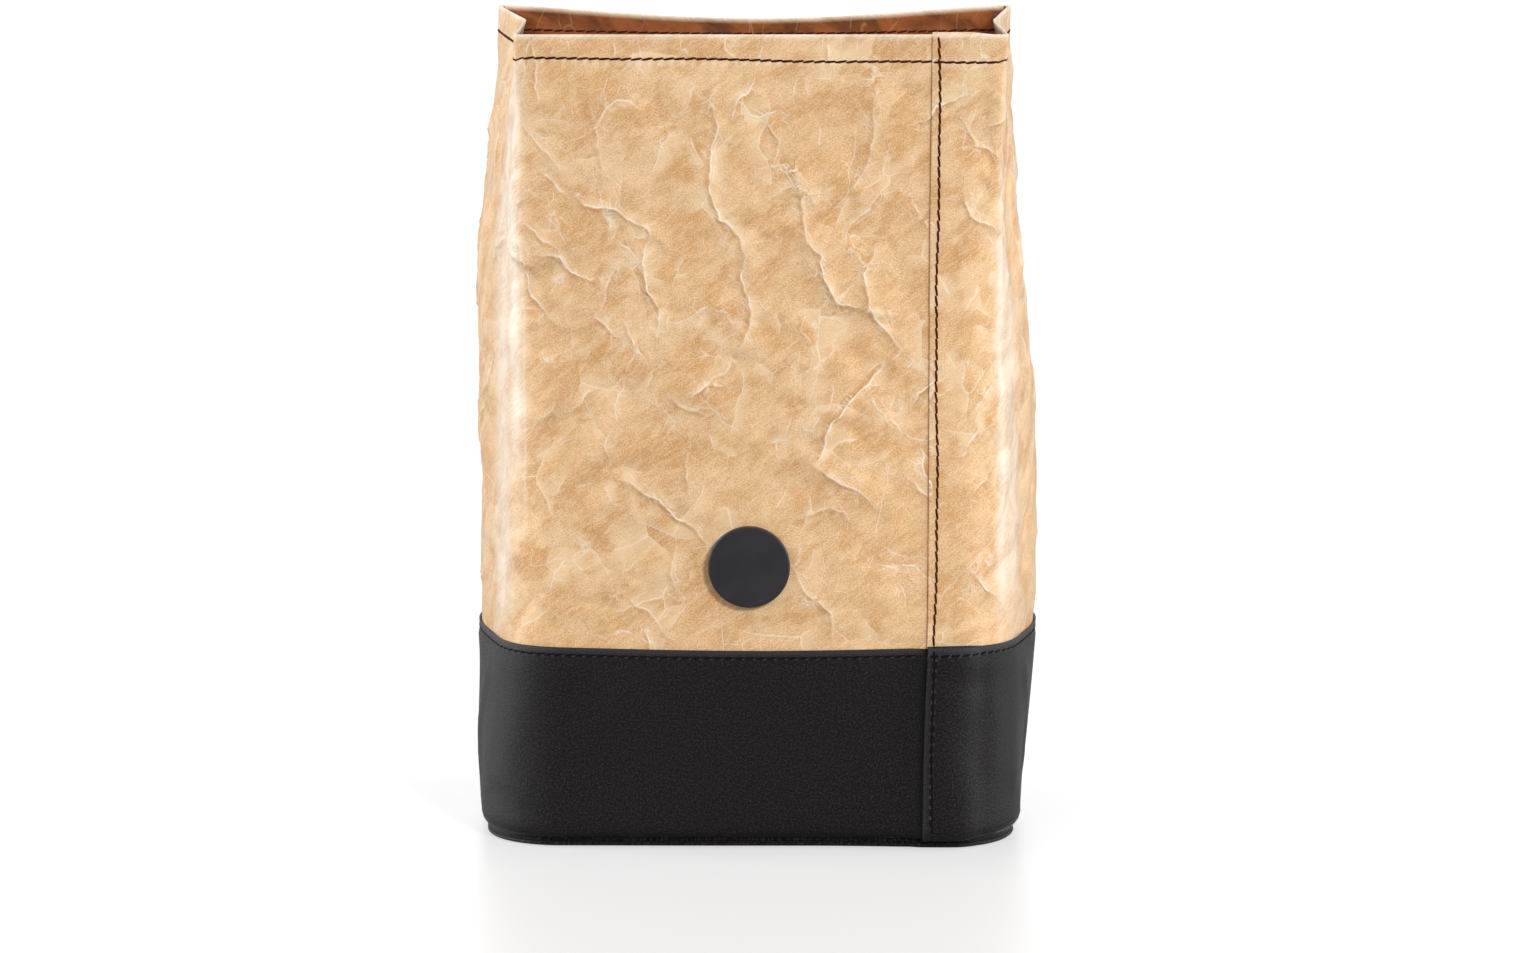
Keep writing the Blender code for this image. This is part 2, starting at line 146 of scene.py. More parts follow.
def footOutline(place):
    corner = bag["footCorner"]
    side = bag["footWidth"] / 2 - corner
    flank = bag["footDepth"] - 2 * corner
    arc = corner * math.pi / 2
    run = np.abs(place) / (girth / 2) * (2 * side + flank + 2 * arc)
    first = np.clip((run - side) / arc, 0, 1) * math.pi / 2
    second = np.clip((run - side - arc - flank) / arc, 0, 1) * math.pi / 2
    x = np.minimum(run, side) + corner * np.sin(first) - corner * (1 - np.cos(second))
    x = x - np.clip(run - side - 2 * arc - flank, 0, None)
    y = -bag["footDepth"] / 2 + corner * (1 - np.cos(first)) + corner * np.sin(second)
    y = y + np.clip(run - side - arc, 0, flank)
    return np.sign(place) * x + bag["footShift"], y


def foldedOutline(place, height):  # the tube with its folds still sharp
    side = np.where(place < 0, -1.0, 1.0)
    away = np.abs(place)
    rise = np.clip(2 * height / rimHeight - 1, 0.0, 1.0)
    depth = bag["bellyDepth"] + (bag["rimDepth"] - bag["bellyDepth"]) * rise
    lean = bag["rimLean"] * rise
    frontX = side * bag["frontWidth"] / 2 + lean
    valleyX = side * (bag["bellyReach"] - bag["gussetTuck"] * rise ** bag["tuckRate"]) + lean
    backX = side * bag["backWidth"] / 2 + bag["backLean"] * rise
    level = np.clip(height / rimHeight, 0, 1)
    belly = np.sin(np.pi * (bag["bulgeStart"] + (1 - bag["bulgeStart"]) * level))
    half = bag["gussetWidth"] / 2
    toFold = np.clip(away / frontFold, 0, 1)
    toValley = np.clip((away - frontFold) / half, 0, 1)
    toBack = np.clip((away - valley) / half, 0, 1)
    toMiddle = np.clip((away - backFold) / (bag["backWidth"] / 2), 0, 1)
    x = frontX * toFold + (1 - toFold) * bag["rimLean"] * level
    x = np.where(away > frontFold, frontX + (valleyX - frontX) * toValley, x)
    x = np.where(away > valley, valleyX + (backX - valleyX) * toBack, x)
    x = np.where(away > backFold, backX * (1 - toMiddle), x)
    y = -depth / 2 - bag["frontBulge"] * belly * hump(0.5 + toFold / 2)
    y = np.where(away > frontFold, -depth / 2 * (1 - toValley), y)
    y = np.where(away > valley, depth / 2 * toBack, y)
    bow = bag["backBulge"] * belly - bag["backCave"] * ease(height, 0.6 * rimHeight, rimHeight)
    y = np.where(away > backFold, depth / 2 + bow * hump(toMiddle / 2), y)
    return x, y


def wall(place, height):  # middle of the kraft sheet, smooth, without its creases
    place, height = np.broadcast_arrays(wrap(np.asarray(place, float)), np.asarray(height, float))
    upper = ease(height, 0.5 * rimHeight, rimHeight)
    rounding = bag["bellyRounding"] + (bag["rimRounding"] - bag["bellyRounding"]) * upper
    x = np.zeros_like(place)
    y = np.zeros_like(place)
    steps = np.linspace(-0.5, 0.5, 13)
    for step in steps:
        pointX, pointY = foldedOutline(wrap(place + step * rounding), height)
        x += pointX / len(steps)
        y += pointY / len(steps)
    footX, footY = footOutline(place)
    rise = ease(height, -0.3 * bag["footBlend"], bag["footBlend"])
    x = footX + (x - footX) * rise
    y = footY + (y - footY) * rise
    outward = np.arctan2(y / bag["bellyDepth"], x / bag["bellyReach"])
    depth = np.zeros_like(place)
    for where, level, reach, up, amount in bag["swells"]:
        depth += amount * np.exp(-((wrap(place - where) / reach) ** 2) - ((height - level) / up) ** 2)
    x = x + depth * np.cos(outward) + bag["planShift"][0]
    y = y + depth * np.sin(outward) + bag["planShift"][1]
    return x, y


def rimDrop(place):
    return bag["backDip"] * hump((np.abs(wrap(place)) - backFold) / bag["backWidth"])


def wallFrame(place, height):  # points of the wall and the unit vectors along it and out of it
    step = 0.0006
    x, y = wall(place, height)
    aheadX, aheadY = wall(place + step, height)
    behindX, behindY = wall(place - step, height)
    along = np.stack([aheadX - behindX, aheadY - behindY], axis=-1)
    along /= np.linalg.norm(along, axis=-1, keepdims=True)
    outward = np.stack([along[..., 1], -along[..., 0]], axis=-1)
    return np.stack([x, y], axis=-1), along, outward


def onWall(place, height, offset, aside=0.0):  # points that stand off the wall, and the way out of it
    point, along, outward = wallFrame(place, height)
    flat = point + outward * offset[..., None] + along * np.asarray(aside)[..., None]
    return np.concatenate([flat, height[..., None]], axis=-1), outward


# Creases that the eye picks out. Each is a list of (place, height) in millimetres,
# then how far it stands out in millimetres and how white it is worn; that wear also sets how strong the painted
# highlight and painted shade beside the crease are.
creases = {
    "spread": 0.0024,
    "tilt": 0.42,
    "strength": 1.0,
    "near": 0.10,  # metres from its first point beyond which a crease isn't worked out
    "reach": 0.010,
    "sway": (0.0005, 0.0002),  # slow and quick wander of the lines
    "seededHeights": (82, 284),
    "front": [
        ([(-67, 241), (-64, 238), (-59, 238), (-54, 237), (-47, 233), (-41, 229), (-40, 228)], 1.1, 0.9),
        ([(-40, 228), (-43, 216), (-41, 209), (-37, 201), (-37, 191)], 1.3, 1.0),
        ([(-79, 250), (-75, 246), (-70, 241)], 0.5, 0.6),
        ([(-86, 267), (-84, 264), (-75, 253)], 0.4, 0.5),
        ([(-59, 237), (-55, 231), (-55, 229)], 0.5, 0.6),
        ([(-62, 276), (-59, 260), (-58, 254), (-58, 249)], 0.4, 0.5),
        ([(-88, 223), (-87, 216), (-84, 205), (-80, 201), (-76, 196)], 0.9, 0.9),
        ([(-79, 220), (-73, 219), (-68, 214), (-61, 210), (-59, 212)], 0.7, 0.8),
        ([(-59, 198), (-56, 194), (-53, 191)], 0.6, 0.9),
        ([(-88, 232), (-82, 228), (-80, 226), (-75, 223)], 0.5, 0.6),
        ([(-48, 195), (-46, 188), (-46, 184), (-48, 178)], 0.6, 0.7),
        ([(-50, 175), (-50, 171), (-52, 168), (-52, 163)], 0.5, 0.6),
        ([(-54, 156), (-56, 151), (-55, 147)], 0.5, 0.6),
        ([(-49, 137), (-44, 135), (-34, 128), (-30, 124), (-24, 120), (-20, 115)], 0.9, 0.9),
        ([(-27, 147), (-26, 140), (-26, 133)], 0.4, 0.5),
        ([(-18, 275), (-16, 266), (-19, 253), (-18, 241), (-15, 234), (-7, 227), (-6, 221)], 1.2, 1.0),
        ([(-6, 221), (-7, 214), (-4, 201), (-3, 196), (-8, 187)], 1.4, 0.9),
        ([(13, 251), (14, 242), (16, 235), (16, 225)], 1.0, 0.9),
        ([(16, 225), (22, 221), (23, 211), (27, 204), (38, 200)], 1.4, 1.0),
        ([(41, 287), (41, 270), (40, 256), (34, 246), (27, 239)], 0.7, 0.5),
        ([(41, 221), (38, 214), (39, 202), (45, 194), (51, 186)], 1.0, 0.8),
        ([(51, 186), (42, 176), (34, 168), (26, 160), (23, 150), (20, 144)], 1.2, 1.0),
        ([(20, 144), (27, 138), (35, 135), (40, 130)], 0.8, 0.7),
        ([(75, 267), (79, 260), (88, 256)], 0.7, 0.7),
        ([(75, 242), (77, 234), (88, 229)], 0.8, 0.8),
        ([(56, 239), (59, 234), (61, 229)], 0.4, 0.7),
        ([(-50, 94), (-41, 89), (-32, 79)], 0.5, 0.5),
        ([(-41, 80), (-40, 74)], 0.4, 1.0),
        ([(11, 106), (18, 96), (26, 89), (27, 80)], 0.9, 0.6),
        ([(55, 137), (60, 133), (63, 130)], 0.4, 0.6),
        ([(80, 132), (88, 141)], 0.5, 0.7),
        ([(77, 104), (83, 98), (89, 93)], 0.6, 0.7),
        ([(93, 174), (85, 170), (78, 161)], 0.7, 0.6),
        ([(30, 222), (33, 231), (40, 238), (46, 246)], 0.5, 0.6),
        ([(2, 268), (6, 262), (5, 254)], 0.4, 0.5),
        ([(-32, 168), (-27, 164), (-20, 162)], 0.4, 0.5),
        ([(-30, 112), (-33, 103), (-29, 95)], 0.4, 0.4),
        ([(24, 298), (25, 290)], 0.3, 0.6),
        ([(-54, 298), (-54, 291)], 0.3, 0.5),
        ([(-83, 298), (-82, 284), (-81, 276)], 0.4, 0.6),
    ],
}


def seededCreases(seed, count, lowPlace, highPlace, size):  # wandering ones, where the eye picks out none
    chance = random.Random(seed)
    lowest, highest = creases["seededHeights"]
    made = []
    for number in range(count):
        place = chance.uniform(lowPlace, highPlace)
        height = chance.uniform(lowest + 4, highest - 2)
        heading = chance.uniform(0, math.pi)
        points = [(place, height)]
        for leg in range(chance.randint(2, 5)):
            length = size * chance.uniform(5, 13)
            place += length * math.cos(heading)
            height += length * math.sin(heading)
            points.append((place, min(max(height, lowest), highest)))
            heading += chance.uniform(-0.9, 0.9)
        depth = size * chance.uniform(0.4, 1.4) * chance.choice((1, 1, -0.6))
        made.append((points, depth, chance.uniform(0.4, 1.0)))
    return made


def polylineDistance(place, height, points):  # nearest distance, the side it lies on, share of the way
    nearest = np.full(place.shape, 1.0)
    signed = np.zeros(place.shape)
    share = np.zeros(place.shape)
    legs = len(points) - 1
    for leg, ((startS, startZ), (endS, endZ)) in enumerate(zip(points, points[1:])):
        runS, runZ = endS - startS, endZ - startZ
        length = math.hypot(runS, runZ)
        fromS = wrap(place - startS)
        fromZ = height - startZ
        t = np.clip((fromS * runS + fromZ * runZ) / length**2, 0, 1)
        gap = np.hypot(fromS - t * runS, fromZ - t * runZ)
        side = np.sign(fromZ * runS - fromS * runZ)
        closer = gap < nearest
        nearest = np.where(closer, gap, nearest)
        signed = np.where(closer, gap * side, signed)
        share = np.where(closer, (leg + t) / legs, share)
    return nearest, signed, share


def calmZones(place, height):  # where the sheet is held flat: seams, rim, band and button
    calm = ease(height, bandTop, bandTop + 0.016)
    calm = calm * (1 - 0.8 * ease(height, rimHeight - 0.022, rimHeight - 0.010))
    middle = lapPlace + 0.004
    calm = calm * (0.12 + 0.88 * ease(np.abs(wrap(place - middle)), 0.006, 0.020))
    reach = np.hypot(wrap(place - button["place"]), height - button["height"])
    return calm * ease(reach, button["diameter"] / 2 + 0.001, button["diameter"] / 2 + 0.014)


def creaseField(place, height, lines):  # lift of the creases, side of the nearest one, its wear, which also scales the painted highlight and painted shade beside it
    lift = np.zeros(place.shape)
    nearest = np.full(place.shape, creases["reach"])
    side = np.full(place.shape, creases["reach"])
    wearAndShading = np.zeros(place.shape)
    slow, quick = creases["sway"]
    bentPlace = place + slow * np.sin(height * 410 + place * 130) + quick * np.sin(height * 1190)
    bentHeight = height + slow * np.sin(place * 430 - height * 170) + quick * np.sin(place * 1270)
    for points, depth, white in lines:
        metres = [(s / 1000, z / 1000) for s, z in points]
        near = np.hypot(wrap(place - metres[0][0]), height - metres[0][1]) < creases["near"]
        if not near.any():
            continue
        distance, signed, share = polylineDistance(bentPlace[near], bentHeight[near], metres)
        ridge = np.exp(-distance / creases["spread"])
        tilt = creases["tilt"] * signed / creases["spread"] * np.exp(-distance / (2.2 * creases["spread"]))
        lift[near] += creases["strength"] * depth / 1000 * (ridge + tilt)
        closer = distance < nearest[near]
        taper = np.sin(math.pi * np.clip(share, 0.04, 0.96)) ** 0.5
        nearest[near] = np.where(closer, distance, nearest[near])
        side[near] = np.where(closer, signed, side[near])
        wearAndShading[near] = np.where(closer, white * taper, wearAndShading[near])
    wearAndShading = wearAndShading * ease(nearest, 0.0075, 0.0045)
    return lift, side * 1000, wearAndShading


def softSwell(place, height, seed):  # slow rise and fall of the sheet between creases
    chance = random.Random(seed)
    total = np.zeros(place.shape)
    turns = place / girth * 2 * math.pi
    for octave, size in ((3, 1.0), (5, 0.8), (8, 0.55), (13, 0.35), (21, 0.22)):
        for wave in range(3):
            round_ = chance.randint(max(1, octave - 2), octave + 2)
            slope = chance.uniform(-1.4, 1.4) * octave / 0.10
            phase = chance.uniform(0, 2 * math.pi)
            total += size * np.sin(round_ * turns + slope * height + phase) / 3
    return total


def crumple(place, height, seed):  # small flat facets meeting at ridges
    chance = random.Random(seed)
    total = np.zeros(place.shape)
    bentS = place + 0.004 * np.sin(height * 170 + 40 * place) + 0.003 * np.sin(height * 410)
    bentZ = height + 0.004 * np.sin(place * 190 - 60 * height) + 0.003 * np.sin(place * 370)
    for size, amount in ((0.038, 1.0), (0.026, 0.75), (0.017, 0.5), (0.011, 0.30)):
        for fold in range(4):
            angle = chance.uniform(0, math.pi)
            phase = chance.uniform(0, 1)
            t = (bentS * math.cos(angle) + bentZ * math.sin(angle)) / size + phase
            total += amount * (np.abs(2 * (t - np.floor(t + 0.5))) - 0.5) / 4
    return total


# Sheets: a grid of columns round the bag and rows up it, thickened into a closed shell
def lapRise(run, thickness):  # how far the lap stands up, from its folded edge onwards
    fall = ease(run, seams["lapUnder"], seams["lapUnder"] + seams["lapEase"])
    return 2 * (thickness + sheet["foldGap"]) * (1 - fall)


def lapHeight(place, thickness):  # the same, with the under edge's rise before the folded edge
    run = wrap(place - lapPlace)
    return ease(run, -0.5 * seams["lapEase"], -0.08 * seams["lapEase"]) * lapRise(run, thickness)


def lapRoute(thickness, places):  # columns from the turned edge, round the bag, to the under edge
    step = thickness + sheet["foldGap"]
    start = lapPlace
    top = lapRise(places - start, thickness)
    turned = np.linspace(seams["lapTurn"], 0, 7)
    arc = np.linspace(math.pi / 6, 5 * math.pi / 6, 5)
    under = np.linspace(0, seams["lapUnder"], 9)
    route = [(start + s, step, 0.0) for s in turned]
    route += [(start, 1.5 * step - 0.5 * step * math.cos(a), -0.7 * step * math.sin(a)) for a in arc]
    route += [(p, t, 0.0) for p, t in zip(places, top)]
    route += [(start + girth + s, 0.0, 0.0) for s in under]
    return np.array(route)


def ringPlaces(frontStep, restStep):
    start = lapPlace
    turnings = [start, start + 0.0012, start + 0.0024, start + 0.0036, start + 0.0060]
    turnings += [start + seams["lapUnder"] + seams["lapEase"]]
    stops = turnings + [frontFold + 0.004, backFold, girth - backFold, girth - frontFold - 0.004]
    stops += [start + girth - 0.0080, start + girth - 0.0030, start + girth - 0.0011, start + girth - 0.0005]
    stops += [start + girth]
    places = []
    for left, right in zip(stops, stops[1:]):
        middle = abs(wrap((left + right) / 2))
        step = frontStep if middle < frontFold + 0.004 else restStep
        count = max(1, round((right - left) / step))
        places += list(np.linspace(left, right, count, endpoint=False))
    return np.array(places)


def stackRows(rows, place):  # rows of (height, offset, mark) as three grids
    return [np.array([np.broadcast_to(part, place.shape) for part in column]) for column in zip(*rows)]


def alongSheet(place):  # a place counted on from the lap's folded edge
    return lapPlace + (np.asarray(place, float) - lapPlace) % girth


def linked(name, data):
    made = bpy.data.objects.new(name, data)
    bpy.context.scene.collection.objects.link(made)
    return made


def meshFrom(name, points, faces, attributes=None):
    data = bpy.data.meshes.new(name)
    data.from_pydata(points, [], faces)
    for key, values in (attributes or {}).items():
        layer = data.attributes.new(key, "FLOAT", "POINT")
        layer.data.foreach_set("value", np.asarray(values, dtype=np.float32).ravel())
    data.validate()
    data.shade_smooth()
    return linked(name, data)


def gridNormals(grid):
    up = np.gradient(grid, axis=0)
    across = np.gradient(grid, axis=1)
    normal = np.cross(across, up)
    return normal / np.linalg.norm(normal, axis=-1, keepdims=True)


def shellFrom(name, grid, thickness, attributes, inset=0.0):  # its inner face is half as fine as the outer
    rows, columns = grid.shape[:2]
    pickRows = sorted(set(range(0, rows, 2)) | {rows - 1})
    pickColumns = sorted(set(range(0, columns, 2)) | {columns - 1})
    normal = gridNormals(grid)
    outer = grid + normal * thickness / 2
    inset = np.broadcast_to(inset, (rows, columns))
    picked = np.ix_(pickRows, pickColumns)
    inner = (grid - normal * (thickness / 2 + inset)[..., None])[picked]
    outerIndex = np.arange(rows * columns).reshape(rows, columns)
    innerIndex = np.arange(len(pickRows) * len(pickColumns)).reshape(len(pickRows), -1) + rows * columns
    faces = []
    for index, turn in ((outerIndex, 1), (innerIndex, -1)):
        corners = (index[:-1, :-1], index[:-1, 1:], index[1:, 1:], index[1:, :-1])
        faces += np.stack(corners, axis=-1).reshape(-1, 4)[:, ::turn].tolist()
    borders = (
        (outerIndex[0], innerIndex[0], pickColumns, 1),
        (outerIndex[:, -1], innerIndex[:, -1], pickRows, 1),
        (outerIndex[-1], innerIndex[-1], pickColumns, -1),
        (outerIndex[:, 0], innerIndex[:, 0], pickRows, -1),
    )
    for outerEdge, innerEdge, picks, turn in borders:
        for number, (first, last) in enumerate(zip(picks, picks[1:])):
            rim = [int(v) for v in outerEdge[first : last + 1]][::-1]
            rim += [int(innerEdge[number]), int(innerEdge[number + 1])]
            faces.append(rim[::turn])
    points = np.concatenate([outer.reshape(-1, 3), inner.reshape(-1, 3)])
    layers = {key: np.concatenate([v.ravel(), v[picked].ravel()]) for key, v in attributes.items()}
    layers["innerFace"] = np.concatenate([np.zeros(rows * columns), np.ones(inner.shape[0] * inner.shape[1])])
    return meshFrom(name, points.tolist(), faces, layers)


button = {
    "place": -0.0037,
    "height": 0.1065,
    "diameter": 0.030,
    "thickness": 0.0036,
    "bevel": 0.0009,
    "rivetDiameter": 0.0032,
    "rivetHead": 0.0085,
    "rivetRim": 0.0002,
    "rivetDome": 0.0008,
    "dish": 0.00014,
    "rivetGrip": 0.0018,
    "washerDiameter": 0.014,
    "washerThickness": 0.0009,
}


# Kraft body
kraft = {
    "frontStep": 0.00112,
    "restStep": 0.00230,
    "rowStep": 0.00128,
    "swell": 0.0008,
    "crumple": 0.0013,
    "stitchSink": 0.00014,
    "inset": 0.0008,
    "seed": 11,
    # Seeded creases on the right, the left, the back and the front: count, places in millimetres, size
    "seededCreases": [(26, 100, 205, 1.0), (26, -205, -100, 1.0), (44, 210, 400, 1.0), (46, -90, 90, 0.45)],
    "rimWear": 0.8,
    "puckerHighlight": 0.75,
    # Folds rubbed pale, the broad ones at the front folds and gussets also a painted highlight of the side
    # lights: place, width, strength, from height, to height
    "wornAndLitFolds": [
        (-0.0952, 0.0060, 1.00, 0.120, 0.298),
        (-0.0885, 0.0012, 0.45, 0.100, 0.300),
        (-0.1078, 0.0105, 0.78, 0.060, 0.300),
        (0.0960, 0.0042, 0.80, 0.060, 0.300),
        (0.1060, 0.0085, 0.66, 0.060, 0.300),
        (valley, 0.0020, 0.40, 0.100, 0.300),
        (-valley, 0.0020, 0.40, 0.100, 0.300),
        (backFold, 0.0025, 0.55, 0.080, 0.300),
        (-backFold, 0.0025, 0.55, 0.080, 0.300),
    ],
}


kraftCreases = creases["front"] + [
    crease
    for turn, (count, low, high, size) in enumerate(kraft["seededCreases"])
    for crease in seededCreases(kraft["seed"] + turn, count, low, high, size)
]


def hemLevel(place):  # the hem's stitch line wanders a little, and follows only part of the rim's dip
    wander = 0.0007 * np.sin(place * 24) + 0.0002 * np.sin(place * 91)
    wander = wander * (np.abs(wrap(place)) < frontFold)
    return rimHeight - 0.12 * rimDrop(place) - seams["hemStitch"] - wander


def kraftRelief(place, height):
    lift, side, wearAndShading = creaseField(place, height, kraftCreases)
    lift = lift + kraft["swell"] * softSwell(place, height, 5) + kraft["crumple"] * crumple(place, height, 8)
    return lift * calmZones(place, height), side, wearAndShading


def kraftBody():
    places = ringPlaces(kraft["frontStep"], kraft["restStep"])
    route = lapRoute(sheet["paper"], places)
    place, lift, aside = route[:, 0], route[:, 1], route[:, 2]
    drop = rimDrop(place)
    low = bandTop - seams["bandTuck"]
    levels = np.linspace(low, rimHeight, round((rimHeight - low) / kraft["rowStep"]))
    levels = np.append(levels[:-1], [rimHeight - 0.0008, rimHeight])
    centre = (sheet["paper"] + sheet["foldGap"]) / 2
    radius = centre + lift
    rows = [(level - drop * ease(level, 0.5 * rimHeight, rimHeight), lift, 0.0) for level in levels]
    for angle in np.linspace(0, math.pi, 7)[1:]:
        rows.append((rimHeight - drop + radius * math.sin(angle), radius * math.cos(angle) - centre, 0.0))
    for down in np.linspace(0, seams["hemDepth"], 7)[1:]:
        rows.append((rimHeight - drop - down, -centre - radius, 1.0))
    height, offset, turned = stackRows(rows, place)
    placeGrid = np.broadcast_to(place, height.shape)
    relief, side, wearAndShading = kraftRelief(placeGrid, np.minimum(height, rimHeight))
    stitchLine = bell(height - hemLevel(placeGrid), thread["reach"])
    lapLine = bell(wrap(placeGrid - lapPlace - seams["lapStitch"]), thread["reach"]) * (lift > 0)
    relief = relief - kraft["stitchSink"] * np.maximum(stitchLine, lapLine)
    grid, outward = onWall(placeGrid, height, offset + relief, aside)
    edge = kraft["rimWear"] * bell(rimHeight - drop - height, 0.0010)
    # Folds rubbed pale, and on the broad strips a painted highlight of the side lights
    foldWearAndLight = np.zeros_like(height)
    for fold, width, strength, low, high in kraft["wornAndLitFolds"]:
        upward = ease(height, low, low + 0.05) * (1 - ease(height, high - 0.012, high))
        foldWearAndLight = np.maximum(foldWearAndLight, strength * upward * bell(wrap(placeGrid - fold), width))
    # Painted highlight where the paper puckers at each needle hole of the hem
    pucker = 0.5 + 0.5 * np.cos((placeGrid - lapPlace) / thread["pitch"] * 2 * math.pi)
    puckerLight = kraft["puckerHighlight"] * stitchLine * pucker**2
    besideLap = placeGrid - lapPlace - girth
    inset = kraft["inset"] * calmZones(placeGrid, np.minimum(height, rimHeight))
    attributes = {
        "sheetPlace": placeGrid,
        "sheetHeight": height,
        "creaseSide": side,
        "creaseWearAndShading": wearAndShading,
        "wornAndLit": np.clip(edge + foldWearAndLight + puckerLight, 0, 1),
        # painted shadow beside the lap's folded edge
        "shade": bell(besideLap + 0.0001, 0.0007) * (height < rimHeight),
        "turned": turned,
    }
    return shellFrom("kraftBody", grid, sheet["paper"], attributes, inset)


def kraftPoint(place, height):  # a point on the outer face, and the way out of it
    place = alongSheet(place)
    relief = kraftRelief(place, height)[0]
    return onWall(place, height, lapRise(place - lapPlace, sheet["paper"]) + sheet["paper"] / 2 + relief)


# Cloth band and bottom
cloth = {
    "columnStep": 0.0014,
    "swell": 0.0006,
    "seed": 23,
    "fold": 0.0042,
    "stitchSink": 0.00030,
    "groove": 0.0005,
    # Soft folds: (place, height) in millimetres, then depth
    "folds": [
        ([(66, 66), (75, 62), (84, 61)], -1.0),
        ([(88, 55), (92, 46), (90, 30)], 0.5),
        ([(76, 44), (80, 30), (72, 16)], -0.5),
        ([(-104, 17), (-92, 11), (-80, 9)], -0.9),
        ([(-98, 24), (-88, 20)], 0.5),
        ([(-34, 52), (-18, 40), (2, 34)], 0.5),
        ([(-72, 30), (-50, 36), (-38, 30)], -0.5),
        ([(28, 50), (44, 38), (48, 22)], 0.5),
        ([(100, 20), (92, 12), (84, 9)], -0.8),
        ([(120, 58), (132, 40), (128, 24)], 0.9),
        ([(160, 50), (172, 34), (168, 18)], -0.8),
        ([(-122, 56), (-134, 38), (-126, 22)], 0.8),
        ([(-166, 48), (-176, 30)], -0.8),
        ([(230, 50), (250, 36), (262, 20)], 0.7),
        ([(300, 56), (306, 40), (296, 24)], -0.6),
        ([(350, 46), (364, 30), (380, 24)], 0.6),
    ],
}


def bandBase(place):
    overPaper = lapHeight(place, sheet["paper"]) + sheet["paper"] / 2 + sheet["clearance"] + sheet["cloth"] / 2
    return overPaper + sheet["cloth"] + sheet["foldGap"] + lapHeight(place, sheet["cloth"])


def clothRelief(place, height):
    wave = softSwell(place, height * 0.8, cloth["seed"])
    held = ease(height, 0.006, 0.030) * (1 - ease(height, bandTop - 0.014, bandTop - 0.004))
    folds = np.zeros(np.shape(place))
    for points, depth in cloth["folds"]:
        metres = [(s / 1000, z / 1000) for s, z in points]
        distance, signed, share = polylineDistance(place, height, metres)
        folds += depth / 1000 * bell(distance, cloth["fold"])
    relief = (cloth["swell"] * (0.6 + wave) + folds) * (0.12 + 0.88 * held)
    fromEdge = wrap(place - lapPlace)
    besideEdge = 0.0005 * bell(fromEdge + 0.0042, 0.0026) + 0.0004 * bell(fromEdge - 0.0080, 0.0035)
    besideEdge = besideEdge - cloth["groove"] * bell(fromEdge + 0.0009, 0.0011)
    overStitch = height - (bandTop - seams["bandStitch"])
    underStitch = 0.0003 * bell(overStitch + 0.0042, 0.0026)
    stitch = np.maximum(bell(overStitch, thread["reach"]), bell(fromEdge - seams["lapStitch"], thread["reach"]))
    return relief + (besideEdge + underStitch) - cloth["stitchSink"] * stitch


def clothBand():
    places = ringPlaces(cloth["columnStep"], cloth["columnStep"])
    route = lapRoute(sheet["cloth"], places)
    place, lift, aside = route[:, 0], route[:, 1], route[:, 2]
    base = bandBase(place)
    centre = (sheet["cloth"] + sheet["foldGap"]) / 2
    radius = centre + lift
    top = bandTop
    rows = [(level, base - centre - radius, 0.0) for level in np.linspace(top - seams["bandHem"], top, 5)]
    for angle in np.linspace(math.pi, 0, 7)[1:-1]:
        rows.append((top + radius * math.sin(angle), base - centre + radius * math.cos(angle), 0.0))
    for level in np.linspace(top, seams["lowerRounding"], 46):
        rows.append((level, base + lift, 1.0))
    fall = seams["lowerRounding"] - seams["seamHeight"] + lift
    for angle in np.linspace(0, math.pi / 2, 9)[1:]:
        inward = base - seams["seamInset"] + (seams["seamInset"] + lift) * math.cos(angle)
        rows.append((seams["lowerRounding"] - fall * math.sin(angle), inward, 0.0))
    for angle in np.linspace(0, math.pi / 2, 5)[1:]:
        level = seams["seamHeight"] + centre - radius * math.cos(angle)
        rows.append((level, base - seams["seamInset"] - radius * math.sin(angle), 0.0))
    rows.append((seams["seamHeight"] + seams["seamAllowance"], base - seams["seamInset"] - radius, 0.0))
    height, offset, outer = stackRows(rows, place)
    placeGrid = np.broadcast_to(place, height.shape)
    grid, outward = onWall(placeGrid, height, offset + outer * clothRelief(placeGrid, height), aside)
    # Painted shadow beside the lap's folded edge; painted highlight on the lap's lip and along the band's top
    # edge
    besideLap = placeGrid - lapPlace - girth
    lipHighlight = bell(wrap(placeGrid - lapPlace - 0.0007), 0.0007) * (placeGrid < lapPlace + 0.01)
    attributes = {
        "sheetPlace": placeGrid,
        "sheetHeight": height,
        "outerFace": outer,
        "shade": bell(besideLap + 0.0006, 0.0017),
        "edge": np.clip(0.35 * outer * bell(height - bandTop, 0.0004) + 0.55 * lipHighlight, 0, 1),
    }
    return shellFrom("clothBand", grid, sheet["cloth"], attributes)


def bandPoint(place, height):
    place = alongSheet(place)
    offset = bandBase(place) + lapRise(place - lapPlace, sheet["cloth"]) + clothRelief(place, height)
    return onWall(place, height, offset + sheet["cloth"] / 2)


